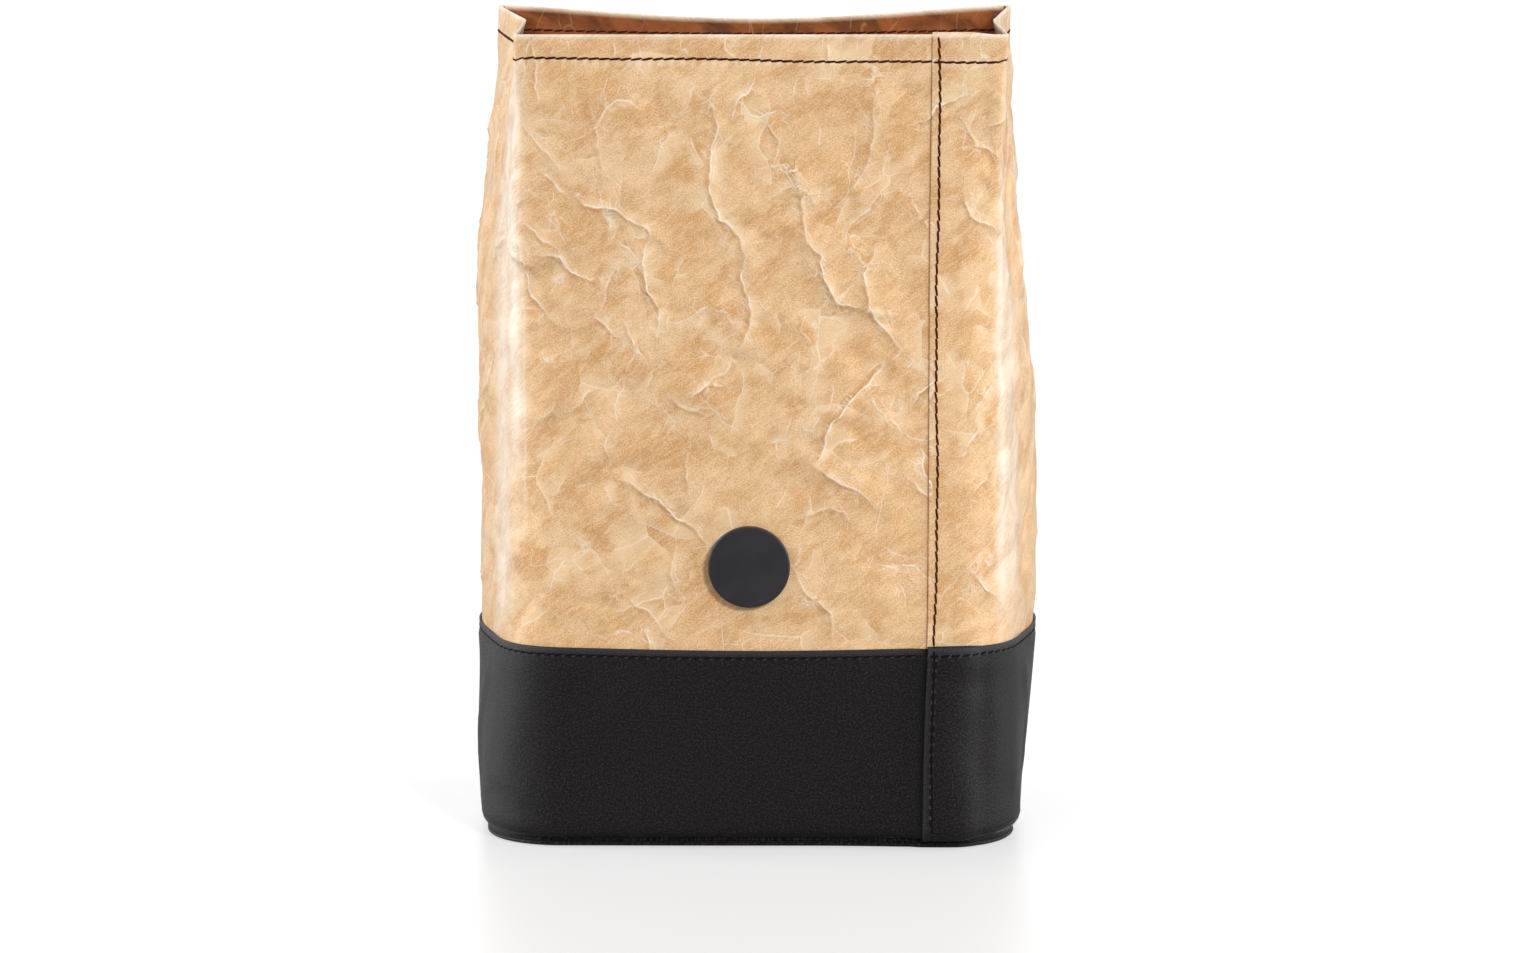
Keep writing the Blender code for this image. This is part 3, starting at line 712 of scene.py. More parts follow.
def clothBottom():
    places = ringPlaces(cloth["columnStep"], cloth["columnStep"])
    inside = bandBase(places) - seams["seamInset"] - sheet["cloth"] / 2 - sheet["foldGap"] / 2
    seat = inside - lapHeight(places, sheet["cloth"]) - sheet["cloth"] - sheet["clearance"]
    middle = sheet["cloth"] / 2
    crown = (seams["seamHeight"] / 2 - middle) / 2
    rows = [(seams["seamHeight"] + seams["seamAllowance"], seat), (seams["seamHeight"] + sheet["cloth"], seat)]
    for angle in np.linspace(0.40, -0.35, 8) * math.pi:
        rows.append((middle + crown + crown * math.sin(angle), seat + 0.0018 * math.cos(angle)))
    rows.append((middle, seat - 0.0022))
    rings = [onWall(places, np.full(places.shape, level), offset)[0] for level, offset in rows]
    for share in (0.06, 0.3, 0.6):  # the last ring drawn in towards its own middle
        ring = rings[len(rows) - 1].copy()
        ring[:, :2] = ring[:, :2] * (1 - share) + ring[:, :2].mean(axis=0) * share
        rings.append(ring)
    points = np.concatenate(rings)
    index = np.arange(len(points)).reshape(len(rings), -1)
    ahead = np.roll(index, -1, axis=1)
    faces = np.stack([index[:-1], index[1:], ahead[1:], ahead[:-1]], axis=-1).reshape(-1, 4).tolist()
    faces.append(index[-1][::-1].tolist())
    attributes = {"sheetPlace": points[:, 0], "sheetHeight": points[:, 1]}
    piece = meshFrom("clothBottom", points.tolist(), faces, attributes)
    shell = piece.modifiers.new("thickness", "SOLIDIFY")
    shell.thickness = sheet["cloth"]
    shell.offset = 0
    shell.use_even_offset = True
    return piece


# Stitching
thread = {
    "pitch": 0.0039,
    "radius": 0.00045,
    "rise": 0.00020,
    "rings": 9,
    "sides": 6,
    "slant": 0.00030,
    "reach": 0.0011,  # how far a stitch draws the sheet in
}


def stitchMesh(name, stitches):  # each stitch is a start, an end and the way out of the sheet
    points, faces = [], []
    rings, sides = thread["rings"], thread["sides"]
    for start, end, outward in stitches:
        along = end - start
        length = np.linalg.norm(along)
        along = along / length
        out = np.array([outward[0], outward[1], 0.0])
        across = np.cross(along, out)
        base = len(points)
        for ring in range(rings):
            t = ring / (rings - 1)
            arch = math.sin(math.pi * t)
            middle = start + along * length * t + out * (thread["rise"] * arch**0.4 - 0.55 * thread["radius"])
            radius = thread["radius"] * (0.60 + 0.40 * arch**0.4)
            for side in range(sides):
                angle = 2 * math.pi * side / sides
                points.append(middle + radius * (math.cos(angle) * across + math.sin(angle) * out))
        for ring in range(rings - 1):
            for side in range(sides):
                after = (side + 1) % sides
                low, high = base + ring * sides, base + (ring + 1) * sides
                faces.append((low + side, low + after, high + after, high + side))
        faces.append(tuple(base + side for side in reversed(range(sides))))
        faces.append(tuple(base + (rings - 1) * sides + side for side in range(sides)))
    return meshFrom(name, [tuple(p) for p in points], faces)


def stitchRow(surface, route, seed):  # route: (place, height) of every needle hole in turn
    chance = random.Random(seed)
    holes = np.array(route)
    centre, outward = surface(holes[:, 0], holes[:, 1])
    made = []
    for number in range(len(holes) - 1):
        start, end = centre[number].copy(), centre[number + 1].copy()
        run = end - start
        gap = -0.3 * thread["radius"]
        unit = run / np.linalg.norm(run)
        out = outward[number] + outward[number + 1]
        out = out / np.linalg.norm(out)
        across = np.cross(unit, np.array([out[0], out[1], 0.0]))
        lean = thread["slant"] * chance.uniform(0.5, 1.3)
        made.append((start + unit * gap + across * lean, end - unit * gap - across * lean, out))
    return made


def evenSteps(start, end, pitch):
    count = max(1, round(abs(end - start) / pitch))
    return np.linspace(start, end, count + 1)


def ringHoles(levelAt, before, after):  # from the lap's folded edge round the bag
    places = wrap(evenSteps(lapPlace + before, lapPlace + girth - after, thread["pitch"]))
    return [(place, float(levelAt(place))) for place in places]


def lapHoles(low, high):  # up the lap, wandering a little
    levels = evenSteps(low, high, thread["pitch"])
    wander = 0.00035 * np.sin(levels * 52 + 1.1) + 0.00015 * np.sin(levels * 141)
    return list(zip(lapPlace + seams["lapStitch"] + wander, levels))


def innerHemPoint(place, height):
    point, outward = kraftPoint(place, height)
    depth = sheet["paper"] * 2 + sheet["foldGap"] + 2 * lapRise((place - lapPlace) % girth, sheet["paper"])
    point[..., :2] -= outward * depth[..., None]
    return point, -outward


def bandLevel(place):
    return bandTop - seams["bandStitch"]


# name, sheet, needle holes, seed
kraftRows = (
    ("hemStitches", kraftPoint, ringHoles(hemLevel, 0.0002, 0.0004), 31),
    ("innerHemStitches", innerHemPoint, ringHoles(hemLevel, 0.002, 0.002), 37),
    ("lapStitches", kraftPoint, lapHoles(bandTop + 0.001, rimHeight - 0.0006), 41),
)
clothRows = (
    ("bandTopStitches", bandPoint, ringHoles(bandLevel, 0.0002, 0.0004), 43),
    ("bandLapStitches", bandPoint, lapHoles(seams["lowerRounding"] - 0.002, bandTop - 0.0006), 47),
)


# Button, rivet and washer
def buttonMatrix():
    point, along, outward = wallFrame(np.array([button["place"]]), np.array([button["height"]]))
    low = np.stack(wall(button["place"], button["height"] - 0.0075))
    high = np.stack(wall(button["place"], button["height"] + 0.0075))
    across = Vector((along[0][0], along[0][1], 0))
    upward = Vector((high[0] - low[0], high[1] - low[1], 0.015))
    out = across.cross(upward).normalized()
    turn = out.to_track_quat("Z", "Y").to_matrix().to_4x4()
    return Matrix.Translation((point[0][0], point[0][1], button["height"])) @ turn


def turnedPiece(name, profile, steps):  # a profile of (radius, level) turned about the button's line
    points, rings, faces = [], [], []
    for radius, level in profile:
        count = 1 if radius < 1e-9 else steps
        rings.append([len(points) + step for step in range(count)])
        for step in range(count):
            angle = 2 * math.pi * step / steps
            points.append((radius * math.cos(angle), radius * math.sin(angle), level))
    for upper, lower in zip(rings, rings[1:]):
        for step in range(steps):
            turns = ((upper, step), (lower, step), (lower, step + 1), (upper, step + 1))
            corners = [ring[turn % len(ring)] for ring, turn in turns]
            faces.append(tuple(dict.fromkeys(corners)))  # three corners where a ring is a single point
    piece = meshFrom(name, points, faces)
    piece.data.set_sharp_from_angle(angle=math.radians(35))
    piece.matrix_world = buttonMatrix()
    return piece


def roundedCorner(radius, level, bevel, startAngle, steps=5):  # quarter round, centre inside the corner
    angles = [startAngle + math.pi / 2 * step / steps for step in range(steps + 1)]
    return [(radius + bevel * math.sin(a), level + bevel * math.cos(a)) for a in angles]


def buttonPieces():
    seat = sheet["paper"] / 2 + sheet["clearance"]
    bore = button["rivetDiameter"] / 2 + sheet["clearance"]
    radius = button["diameter"] / 2
    bevel = button["bevel"]
    face = seat + button["thickness"]
    blind = seat + button["rivetGrip"] + sheet["clearance"]
    dish = button["dish"]
    cap = [(0, face - dish)]
    cap += [(radius * share, face - dish) for share in (0.2, 0.4, 0.6, 0.75, 0.83)]
    cap += [(radius - 2.0 * bevel, face - 0.8 * dish), (radius - 1.75 * bevel, face - 0.2 * dish)]
    cap += [(radius - 1.5 * bevel, face)]
    cap += roundedCorner(radius - bevel, face - bevel, bevel, 0)
    cap += [(radius, seat + 0.9 * bevel), (radius - 0.35 * bevel, seat + 0.75 * bevel)]
    cap += [(radius - 0.4 * bevel, seat + 0.2 * bevel), (radius - 0.7 * bevel, seat)]
    cap += [(bore, seat), (bore, blind), (0, blind)]
    washerLow = -seat - button["washerThickness"]
    outer = button["washerDiameter"] / 2
    washer = [(bore, -seat), (outer - 0.0002, -seat), (outer, -seat - 0.0002), (outer, washerLow + 0.0002)]
    washer += [(outer - 0.0002, washerLow), (bore, washerLow), (bore, -seat)]
    head = washerLow - sheet["clearance"]
    stem = button["rivetDiameter"] / 2
    wide = button["rivetHead"] / 2
    rivet = [(0, seat + button["rivetGrip"]), (stem, seat + button["rivetGrip"]), (stem, head)]
    brim, dome = head - button["rivetRim"], button["rivetDome"]
    rivet += [(wide - 0.0001, head), (wide, brim)]
    rivet += [(wide * math.cos(a), brim - dome * math.sin(a)) for a in (0.3, 0.7, 1.1, 1.4)]
    rivet += [(0, brim - dome)]
    return (
        turnedPiece("buttonCap", cap, 96),
        turnedPiece("buttonWasher", washer, 64),
        turnedPiece("buttonRivet", rivet, 48),
    )


# Materials
class nodeKit:  # short names for the nodes in use
    def __init__(self, tree):
        self.tree = tree

    def add(self, kind, inputs=None, **settings):
        node = self.tree.nodes.new(kind)
        for key, value in settings.items():
            setattr(node, key, value)
        self.fill(node, inputs or {})
        return node

    def fill(self, node, inputs):  # a socket is linked, and a plain value is set on the input itself
        for key, value in inputs.items():
            if isinstance(value, bpy.types.NodeSocket):
                self.tree.links.new(value, node.inputs[key])
            else:
                node.inputs[key].default_value = value

    def attribute(self, name):
        return self.add("ShaderNodeAttribute", attribute_name=name).outputs["Fac"]

    def math(self, operation, *values):
        total = values[0]
        for value in values[1:]:
            total = self.add("ShaderNodeMath", {0: total, 1: value}, operation=operation).outputs[0]
        return total

    def times(self, *values):
        return self.math("MULTIPLY", *values)

    def plus(self, *values):
        return self.math("ADD", *values)

    def less(self, first, second):
        return self.math("SUBTRACT", first, second)

    def most(self, *values):
        return self.math("MAXIMUM", *values)

    def size(self, value):
        return self.math("ABSOLUTE", value, 0.0)

    def vectorMath(self, operation, first, second):
        inputs = {0: first, "Scale" if operation == "SCALE" else 1: second}
        return self.add("ShaderNodeVectorMath", inputs, operation=operation).outputs[0]

    def noise(self, vector, scale, detail=3.0, rough=0.5, bend=0.0):
        inputs = {"Vector": vector, "Scale": scale, "Detail": detail, "Roughness": rough, "Distortion": bend}
        return self.add("ShaderNodeTexNoise", inputs).outputs["Fac"]

    def stretch(self, vector, degrees, long, wide):  # drawn out along a direction
        inputs = {"Vector": vector, "Rotation": (0, 0, math.radians(degrees)), "Scale": (long, wide, 1)}
        return self.add("ShaderNodeMapping", inputs, vector_type="TEXTURE").outputs["Vector"]

    def ramp(self, value, low, high, outLow=0.0, outHigh=1.0):
        inputs = {"Value": value, "From Min": low, "From Max": high, "To Min": outLow, "To Max": outHigh}
        return self.add("ShaderNodeMapRange", inputs, interpolation_type="SMOOTHSTEP").outputs["Result"]

    def blend(self, factor, first, second):
        inputs = {0: factor}
        for socket, tint in ((6, first), (7, second)):
            inputs[socket] = (*tint, 1) if isinstance(tint, tuple) else tint
        return self.add("ShaderNodeMix", inputs, data_type="RGBA").outputs[2]

    def edges(self, vector, scale):  # how far the nearest side of a facet lies
        inputs = {"Vector": vector, "Scale": scale}
        return self.add("ShaderNodeTexVoronoi", inputs, feature="DISTANCE_TO_EDGE").outputs["Distance"]

    def cells(self, vector, scale):  # one chance value for each facet
        return self.add("ShaderNodeTexVoronoi", {"Vector": vector, "Scale": scale}).outputs["Color"]

    def bumps(self, *layers):  # each is a height, a distance and a strength
        under = {}
        for height, distance, strength in layers:
            inputs = {"Height": height, "Distance": distance, "Strength": strength}
            under = {"Normal": self.add("ShaderNodeBump", inputs | under).outputs["Normal"]}
        return under["Normal"]


def shaded(name, paint):  # a material, from a function that gives the shader's inputs
    material = bpy.data.materials.new(name)
    material.use_nodes = True
    kit = nodeKit(material.node_tree)
    kit.fill(material.node_tree.nodes["Principled BSDF"], paint(kit))
    return material


def srgb(*levels):
    return tuple(c / 12.92 if c <= 0.04045 else ((c + 0.055) / 1.055) ** 2.4 for c in (v / 255 for v in levels))


kraftLook = {
    "middle": srgb(226, 181, 129),
    "pale": srgb(245, 214, 173),
    "dark": srgb(199, 142, 80),
    "wornAndLit": srgb(253, 243, 229),
    # painted shade on the turned hem inside the rim
    "hem": srgb(158, 80, 27),
    "hemDark": srgb(98, 40, 12),
    # painted shade on the sheet's inner face
    "inside": srgb(112, 56, 22),
    "shade": srgb(110, 62, 30),
    "roughness": (0.56, 0.46),
    "specular": 0.34,
    "sheen": 0.30,
    "sheenRoughness": 0.35,
}


def ownPlace(kit):  # the piece's own coordinates
    return kit.add("ShaderNodeTexCoord").outputs["Object"]


def sheetVector(kit):  # the sheet's own coordinates in millimetres, the same on both faces
    place = kit.math("MULTIPLY", kit.attribute("sheetPlace"), 1000.0)
    height = kit.math("MULTIPLY", kit.attribute("sheetHeight"), 1000.0)
    return kit.add("ShaderNodeCombineXYZ", {"X": place, "Y": height}).outputs["Vector"]


def kraftPaint(kit):
    vector = sheetVector(kit)

    def mask(scale, low, high, outLow=0.0, detail=2.0):
        return kit.ramp(kit.noise(vector, scale, detail), low, high, outLow)

    # Pulp: clouds, mottling, slanted fibres and grain
    clouds = kit.noise(kit.stretch(vector, 32, 1.5, 0.9), 0.075, 4.0, 0.62, 0.4)
    patches = kit.noise(vector, 0.022, 3.0, 0.5, 0.3)
    mottle = kit.noise(kit.stretch(vector, 36, 2.0, 0.8), 0.38, 4.0, 0.72)
    fibres = kit.noise(kit.stretch(vector, 34, 5.0, 0.60), 0.85, 3.0, 0.60)
    fuzz = kit.noise(kit.stretch(vector, -24, 3.0, 0.5), 1.1, 3.0, 0.60)
    grain = kit.noise(vector, 1.9, 3.0, 0.65)
    colour = kraftLook["dark"]
    # pattern, from low to high, share of the tint at each, tint
    for pattern, low, high, atLow, atHigh, tint in (
        (clouds, 0.37, 0.63, 0.05, 0.95, "pale"),
        (patches, 0.36, 0.62, 0.20, 0.60, "middle"),
        (mottle, 0.46, 0.66, 0.0, 0.42, "pale"),
        (mottle, 0.30, 0.48, 0.38, 0.0, "dark"),
        (fibres, 0.50, 0.68, 0.0, 0.50, "pale"),
        (fuzz, 0.54, 0.70, 0.0, 0.50, "dark"),
        (grain, 0.50, 0.60, 0.0, 0.48, "pale"),
        (grain, 0.40, 0.50, 0.48, 0.0, "dark"),
    ):
        colour = kit.blend(kit.ramp(pattern, low, high, atLow, atHigh), colour, kraftLook[tint])

    # Wrinkles: straight-sided facets of three sizes, with pale lines at some of their edges and a painted
    # highlight on some facets beside their edges
    bent = vector
    for scale, detail, reach in ((0.055, 1.0, 9.0), (0.33, 2.0, 1.0)):
        inputs = {"Vector": vector, "Scale": scale, "Detail": detail}
        push = kit.add("ShaderNodeTexNoise", inputs).outputs["Color"]
        push = kit.vectorMath("SCALE", kit.vectorMath("SUBTRACT", push, (0.5, 0.5, 0.5)), reach)
        bent = kit.vectorMath("ADD", bent, push)
    wobble = kit.times(kit.less(kit.noise(vector, 0.55, 3.0, 0.6), 0.5), 0.7)
    side = kit.plus(kit.attribute("creaseSide"), wobble)
    away = kit.size(side)
    wearAndShading = kit.attribute("creaseWearAndShading")
    wideVector, smallVector = kit.stretch(bent, 70, 1.3, 0.9), kit.stretch(bent, 25, 1.2, 0.9)
    wide, small = kit.edges(wideVector, 0.030), kit.edges(smallVector, 0.066)
    fine = kit.edges(kit.stretch(bent, 115, 1.5, 0.8), 0.17)
    wideMask, smallMask = mask(0.045, 0.47, 0.60), mask(0.070, 0.50, 0.62)
    wideLine = kit.times(kit.ramp(wide, 0.0, 0.009, 0.50, 0.0), wideMask)
    smallLine = kit.times(kit.ramp(small, 0.0, 0.018, 0.42, 0.0), smallMask)
    nearby = kit.ramp(away, 1.0, 9.0, 1.0, 0.25)
    fineLine = kit.times(kit.ramp(fine, 0.0, 0.036, 0.55, 0.0), mask(0.13, 0.52, 0.62), nearby)
    # The hem is stitched flat: there the wrinkles run upright
    inHem = kit.ramp(kit.attribute("sheetHeight"), hemLow, hemLow + 0.002)
    upright = kit.ramp(kit.edges(kit.stretch(bent, 0, 0.9, 4.0), 0.09), 0.0, 0.025, 0.55, 0.0)
    upright = kit.times(upright, inHem, mask(0.10, 0.48, 0.58, detail=1.0))
    outside = kit.less(1.0, kit.times(inHem, 0.9))
    hair = kit.most(kit.times(kit.most(wideLine, smallLine, fineLine), outside), upright)
    # Painted highlight: some facets paler near their edges, as facets turned to the light
    wideFacetLight = kit.ramp(kit.cells(wideVector, 0.030), 0.48, 0.66, 0.0, 0.60)
    smallFacetLight = kit.ramp(kit.cells(smallVector, 0.066), 0.50, 0.70, 0.0, 0.60)
    wideLitFacets = kit.times(wideFacetLight, kit.ramp(wide, 0.0, 0.20, 1.0, 0.0), wideMask)
    smallLitFacets = kit.times(smallFacetLight, kit.ramp(small, 0.0, 0.26, 1.0, 0.0), smallMask)
    colour = kit.blend(kit.most(wideLitFacets, smallLitFacets), colour, kraftLook["pale"])

    # Main creases: worn white along the ridge, the white line set a little to the lit side as a painted
    # highlight; a painted highlight to one side and painted shade to the other
    broken = mask(0.22, 0.36, 0.54, 0.20)
    ridgeLine = kit.size(kit.less(side, 0.25))
    core = kit.times(kit.ramp(ridgeLine, 0.10, 0.42, 1.0, 0.0), wearAndShading, broken)
    streaks = kit.ramp(kit.noise(kit.stretch(bent, -48, 4.5, 0.6), 0.75, 2.0, 0.55), 0.50, 0.66)
    feather = kit.times(kit.ramp(away, 0.0, 4.5, 0.60, 0.0), streaks, wearAndShading, broken)
    litSide = kit.times(kit.ramp(side, -0.2, 6.0, 0.80, 0.0), kit.ramp(side, -0.4, 0.0), wearAndShading)
    litSide = kit.times(litSide, mask(0.085, 0.42, 0.58, 0.25))
    shade = kit.times(kit.ramp(side, -3.0, 0.0, 0.0, 0.60), kit.ramp(side, 0.0, 0.3, 1.0, 0.0), wearAndShading)
    colour = kit.blend(shade, colour, kraftLook["dark"])
    colour = kit.blend(litSide, colour, kraftLook["pale"])
    # Rim and folds rubbed pale, with a painted highlight on the broad fold strips and the stitch puckers
    rubbedAndLit = kit.times(kit.attribute("wornAndLit"), kit.ramp(kit.plus(fibres, clouds), 0.80, 1.20, 0.55, 1.0))
    colour = kit.blend(kit.most(hair, core, rubbedAndLit, feather), colour, kraftLook["wornAndLit"])

    # Inside: painted shade, a deeper brown, and on the turned hem a little redder; then the painted shadow
    # beside the lap's folded edge
    turned = kit.attribute("turned")
    within = kit.size(kit.less(kit.attribute("innerFace"), turned))
    hem = kit.blend(kit.ramp(clouds, 0.38, 0.62), kraftLook["hemDark"], kraftLook["hem"])
    shadedInside = kit.blend(turned, kraftLook["inside"], hem)
    shadedInside = kit.blend(kit.times(hair, 0.4), shadedInside, kraftLook["middle"])
    colour = kit.blend(kit.times(within, 0.92), colour, shadedInside)
    colour = kit.blend(kit.times(kit.attribute("shade"), 0.75), colour, kraftLook["shade"])

    pits = kit.plus(kit.times(mottle, 0.6), kit.times(fibres, 0.5), kit.times(grain, 0.6))
    wideFacets = kit.times(kit.math("MINIMUM", wide, 0.21), 4.8)
    facets = kit.plus(wideFacets, kit.times(kit.math("MINIMUM", small, 0.26), 1.5))
    ridge = kit.plus(kit.times(kit.ramp(away, 0.0, 1.5, 1.0, 0.0), wearAndShading), kit.times(hair, 0.45))
    return {
        "Base Color": colour,
        "Normal": kit.bumps((pits, 0.00012, 0.5), (facets, 0.00085, 0.65), (ridge, 0.00042, 0.7)),
        "Roughness": kit.ramp(clouds, 0.3, 0.7, *kraftLook["roughness"]),
        "Specular IOR Level": kraftLook["specular"],
        "Sheen Weight": kraftLook["sheen"],
        "Sheen Roughness": kraftLook["sheenRoughness"],
    }


clothLook = {
    "black": srgb(3, 3, 4),
    "yarn": srgb(46, 41, 45),
    "lint": srgb(120, 114, 118),
    # painted highlight colour of the band's top edge, the lap's lip and the puffs
    "edge": srgb(84, 80, 84),
    "paintedShade": (0.0006, 0.0006, 0.0006),
    "roughness": 0.60,
    "specular": 0.44,
    "sheen": 0.30,
    "sheenRoughness": 0.18,
}


def clothPaint(kit):
    vector = sheetVector(kit)
    split = kit.add("ShaderNodeSeparateXYZ", {"Vector": vector})
    along, height = split.outputs["X"], split.outputs["Y"]
    # Twill: fine slanted ribs crossed by a finer weft
    twill = kit.math("SINE", kit.plus(kit.times(along, 8.0), kit.times(height, 9.6)), 0.0)
    weft = kit.math("SINE", kit.times(height, 14.0), 0.0)
    weave = kit.plus(kit.times(twill, 0.6), kit.times(weft, 0.4))
    grain = kit.noise(vector, 1.5, 2.0, 0.8)
    slub = kit.noise(kit.stretch(vector, 0, 2.5, 0.8), 0.45, 3.0, 0.6)
    specks = kit.noise(vector, 0.9, 1.0)
    colour = kit.blend(kit.ramp(grain, 0.47, 0.62), clothLook["black"], clothLook["yarn"])
    colour = kit.blend(kit.ramp(weave, -0.2, 0.9, 0.0, 0.18), colour, clothLook["yarn"])
    colour = kit.blend(kit.ramp(specks, 0.76, 0.84, 0.0, 0.45), colour, clothLook["lint"])

    # Seams: the needle holes pull the cloth in, with painted shade along the stitch lines; the puffs between
    # them catch the light as a painted highlight, as do the band's top edge and the lap's lip
    topLine = (bandTop - seams["bandStitch"]) * 1000
    lapLine = (lapPlace + seams["lapStitch"]) * 1000
    puffs, lines = [], []
    for across, line, run, firstHole, reach in (
        (height, topLine, along, lapPlace * 1000, 1.2),
        (along, lapLine, height, bandTop * 1000, 1.3),
    ):
        off = kit.size(kit.less(across, line))
        turn = kit.times(kit.less(run, firstHole), 2 * math.pi / (thread["pitch"] * 1000))
        between = kit.ramp(kit.math("COSINE", turn, 0.0), 0.2, 1.0, 0.0, 0.6)
        puffs.append(kit.times(kit.ramp(off, 0.1, reach, 1.0, 0.0), between))
        lines.append(kit.ramp(off, 0.2, 0.9, 0.9, 0.0))
    outer = kit.attribute("outerFace")
    lit = kit.most(kit.times(kit.most(*puffs), outer), kit.attribute("edge"))
    # painted shade on the stitch lines and beside the lap, painted highlight on puffs and edges
    colour = kit.blend(kit.times(kit.most(*lines), outer), colour, clothLook["paintedShade"])
    colour = kit.blend(lit, colour, clothLook["edge"])
    colour = kit.blend(kit.attribute("shade"), colour, clothLook["paintedShade"])
    return {
        "Base Color": colour,
        "Normal": kit.bumps((weave, 0.00006, 0.5), (grain, 0.00030, 0.7), (slub, 0.00022, 0.35)),
        "Roughness": clothLook["roughness"],
        "Specular IOR Level": clothLook["specular"],
        "Sheen Weight": clothLook["sheen"],
        "Sheen Roughness": clothLook["sheenRoughness"],
    }


threadLook = {
    "brown": (srgb(50, 18, 6), srgb(92, 42, 20)),
    "black": (srgb(10, 9, 10), srgb(34, 32, 34)),
    "twist": 7000.0,
    "roughness": 0.65,
    "specular": 0.04,
}


def threadPaint(kit, tints):
    split = kit.add("ShaderNodeSeparateXYZ", {"Vector": ownPlace(kit)})
    run = kit.plus(*[kit.times(split.outputs[axis], threadLook["twist"]) for axis in "XZ"])
    twist = kit.math("SINE", run, 0.0)
    return {
        "Base Color": kit.blend(kit.ramp(twist, -0.8, 0.9), *tints),
        "Normal": kit.bumps((twist, 0.00006, 0.6)),
        "Roughness": threadLook["roughness"],
        "Specular IOR Level": threadLook["specular"],
    }


def plasticPaint(kit):
    grain = kit.noise(ownPlace(kit), 2400.0, 2.0)
    cloud = kit.noise(ownPlace(kit), 90.0)
    return {
        "Base Color": kit.blend(kit.ramp(cloud, 0.3, 0.7), srgb(40, 39, 42), srgb(47, 45, 49)),
        "Normal": kit.bumps((grain, 0.00003, 0.35)),
        "Roughness": kit.ramp(cloud, 0.3, 0.7, 0.40, 0.48),
    }


def metalPaint(kit):
    scratches = kit.noise(kit.stretch(ownPlace(kit), 20, 6.0, 0.7), 900.0, 3.0, 0.6)
    return {
        "Base Color": kit.blend(scratches, srgb(150, 147, 142), srgb(182, 178, 172)),
        "Normal": kit.bumps((scratches, 0.00003, 0.3)),
        "Roughness": kit.ramp(scratches, 0.3, 0.7, 0.28, 0.42),
        "Metallic": 1.0,
    }


def dress(piece, material, node=None):
    piece.data.materials.clear()
    piece.data.materials.append(material)
    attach(piece, "root")
    if node:
        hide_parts(node)


kraftPaper = shaded("kraft paper", kraftPaint)
bandCloth = shaded("black twill", clothPaint)
bottomCloth = shaded("bottom twill", clothPaint)
brownThread = shaded("brown thread", lambda kit: threadPaint(kit, threadLook["brown"]))
blackThread = shaded("black thread", lambda kit: threadPaint(kit, threadLook["black"]))
capPlastic = shaded("button plastic", plasticPaint)
rivetMetal = shaded("rivet metal", metalPaint)
print("materials made")

dress(kraftBody(), kraftPaper, "paper_body")
print("kraft body made")
dress(clothBand(), bandCloth, "base_band")
dress(clothBottom(), bottomCloth, "bottom_panel")
print("cloth made")
for name, surface, holes, seed in kraftRows:
    dress(stitchMesh(name, stitchRow(surface, holes, seed)), brownThread)
for name, surface, holes, seed in clothRows:
    dress(stitchMesh(name, stitchRow(surface, holes, seed)), blackThread)
print("stitches made")
capPiece, washerPiece, rivetPiece = buttonPieces()
dress(capPiece, capPlastic, "button_cap")
dress(washerPiece, rivetMetal, "button_washer")
dress(rivetPiece, rivetMetal, "button_rivet")
print("button made")


# Floor, backdrop, light and camera
floorLook = {"albedo": 0.34, "glow": 0.57, "roughness": 0.36, "specular": 1.0, "reach": 6.0, "level": -0.0002}
studio = {
    "plain": 0.30,
    "room": 0.25,  # what gloss sees in front of the bag, where 1 is white
    # Strips: name, place, watts. Suns: name, direction, strength, degrees
    "strips": (("left strip", (-1.25, 0.10, 0.55), 13.0), ("right strip", (1.25, -0.05, 0.55), 9.0)),
    "stripSize": (0.5, 1.2),
    "stripAim": (0, 0, 0.16),
    "suns": (("front key", (0.44, -0.92, 0.48), 1.95, 12.0), ("front fill", (-0.70, -0.90, 0.55), 0.56, 40.0)),
}
cameraPlace = {"aim": (0.0005, 0.0, 0.129), "distance": 2.60, "height": 0.55, "lens": 167.3}


def floorMaterial():  # white to look at, and it keeps the bag's shadow and reflection
    look = {
        "Base Color": (*[floorLook["albedo"]] * 3, 1),
        "Roughness": floorLook["roughness"],
        "Specular IOR Level": floorLook["specular"],
    }
    material = shaded("white gloss floor", lambda kit: look)
    tree = material.node_tree
    kit = nodeKit(tree)
    path = kit.add("ShaderNodeLightPath")
    strength = kit.times(path.outputs["Is Camera Ray"], floorLook["glow"])
    glow = kit.add("ShaderNodeEmission", {"Color": (1, 1, 1, 1), "Strength": strength})
    surface = tree.nodes["Principled BSDF"].outputs["BSDF"]
    total = kit.add("ShaderNodeAddShader", {0: surface, 1: glow.outputs["Emission"]})
    kit.fill(tree.nodes["Material Output"], {"Surface": total.outputs[0]})
    return material


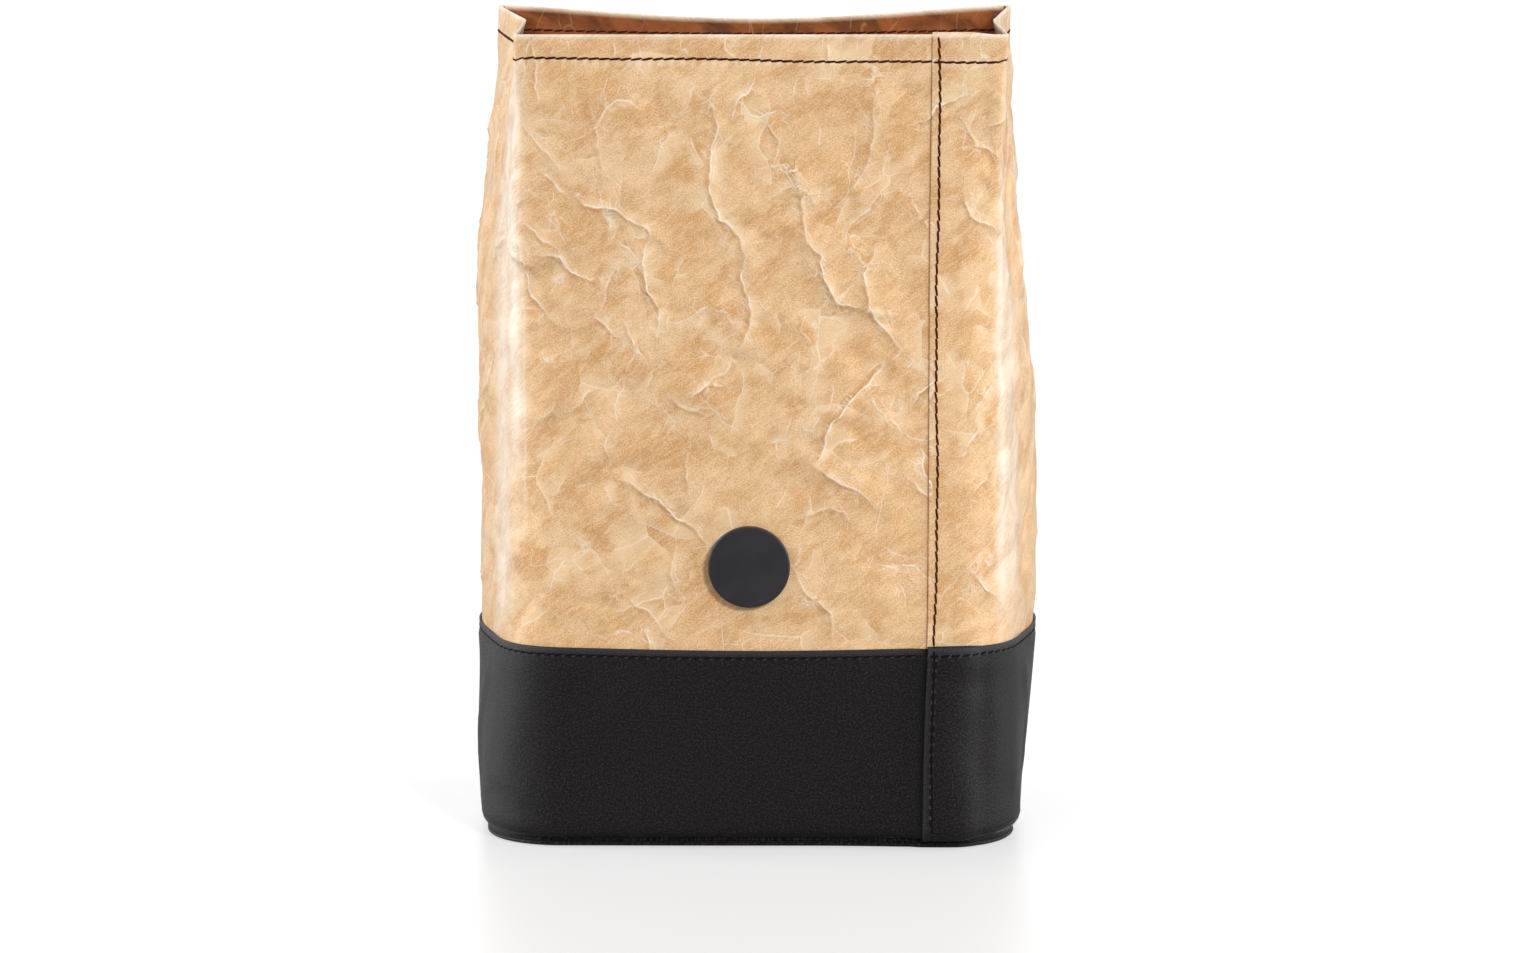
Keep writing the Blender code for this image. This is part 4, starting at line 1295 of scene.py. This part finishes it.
def makeFloor():
    reach = floorLook["reach"]
    corners = [(-reach, -reach, 0), (reach, -reach, 0), (reach, reach, 0), (-reach, reach, 0)]
    floor = meshFrom("floor", corners, [(0, 1, 2, 3)])
    floor.location.z = floorLook["level"]
    floor.data.materials.append(floorMaterial())
    floor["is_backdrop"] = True


def makeWorld():
    world = bpy.data.worlds.new("studio")
    bpy.context.scene.world = world
    world.use_nodes = True
    world.node_tree.nodes.clear()
    kit = nodeKit(world.node_tree)
    path = kit.add("ShaderNodeLightPath")
    shown = kit.most(path.outputs["Is Camera Ray"], path.outputs["Is Glossy Ray"])
    direction = kit.add("ShaderNodeTexCoord").outputs["Generated"]
    backward = kit.add("ShaderNodeSeparateXYZ", {"Vector": direction}).outputs["Y"]
    # White to look at, and behind the bag; a dim room in front of it
    level = kit.most(path.outputs["Is Camera Ray"], kit.ramp(backward, -0.3, 0.5, studio["room"], 1.0))
    plain = kit.add("ShaderNodeBackground", {"Color": (1, 1, 1, 1), "Strength": studio["plain"]})
    white = kit.add("ShaderNodeBackground", {"Color": (1, 1, 1, 1), "Strength": level})
    mixed = kit.add("ShaderNodeMixShader", {0: shown, 1: plain.outputs[0], 2: white.outputs[0]})
    kit.add("ShaderNodeOutputWorld", {"Surface": mixed.outputs[0]})


def pointed(name, data, place, aim):  # an object at a place, facing its aim
    made = linked(name, data)
    made.location = place
    made.rotation_euler = (Vector(aim) - Vector(place)).to_track_quat("-Z", "Y").to_euler()
    return made


def makeLights():
    for name, place, power in studio["strips"]:
        data = bpy.data.lights.new(name, "AREA")
        data.shape = "RECTANGLE"
        data.size, data.size_y = studio["stripSize"]
        data.energy = power
        pointed(name, data, place, studio["stripAim"])
    for name, direction, strength, degrees in studio["suns"]:
        data = bpy.data.lights.new(name, "SUN")
        data.energy = strength
        data.angle = math.radians(degrees)
        lamp = pointed(name, data, direction, (0, 0, 0))
        lamp.visible_glossy = False  # gloss comes from the strips and the white room alone


def makeCamera():
    data = bpy.data.cameras.new("camera")
    data.lens = cameraPlace["lens"]
    data.sensor_width = 36.0
    data.clip_end = 30.0
    aim = cameraPlace["aim"]
    place = (aim[0], -cameraPlace["distance"], cameraPlace["height"])
    bpy.context.scene.camera = pointed("camera", data, place, aim)


makeFloor()
makeWorld()
makeLights()
makeCamera()
bpy.context.scene.view_settings.view_transform = "Standard"
print("stage set")

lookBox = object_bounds()
boxes = {"cad": cadBox, "visual": lookBox}
boxes = {name: [list(map(float, corner)) for corner in box] for name, box in boxes.items()}
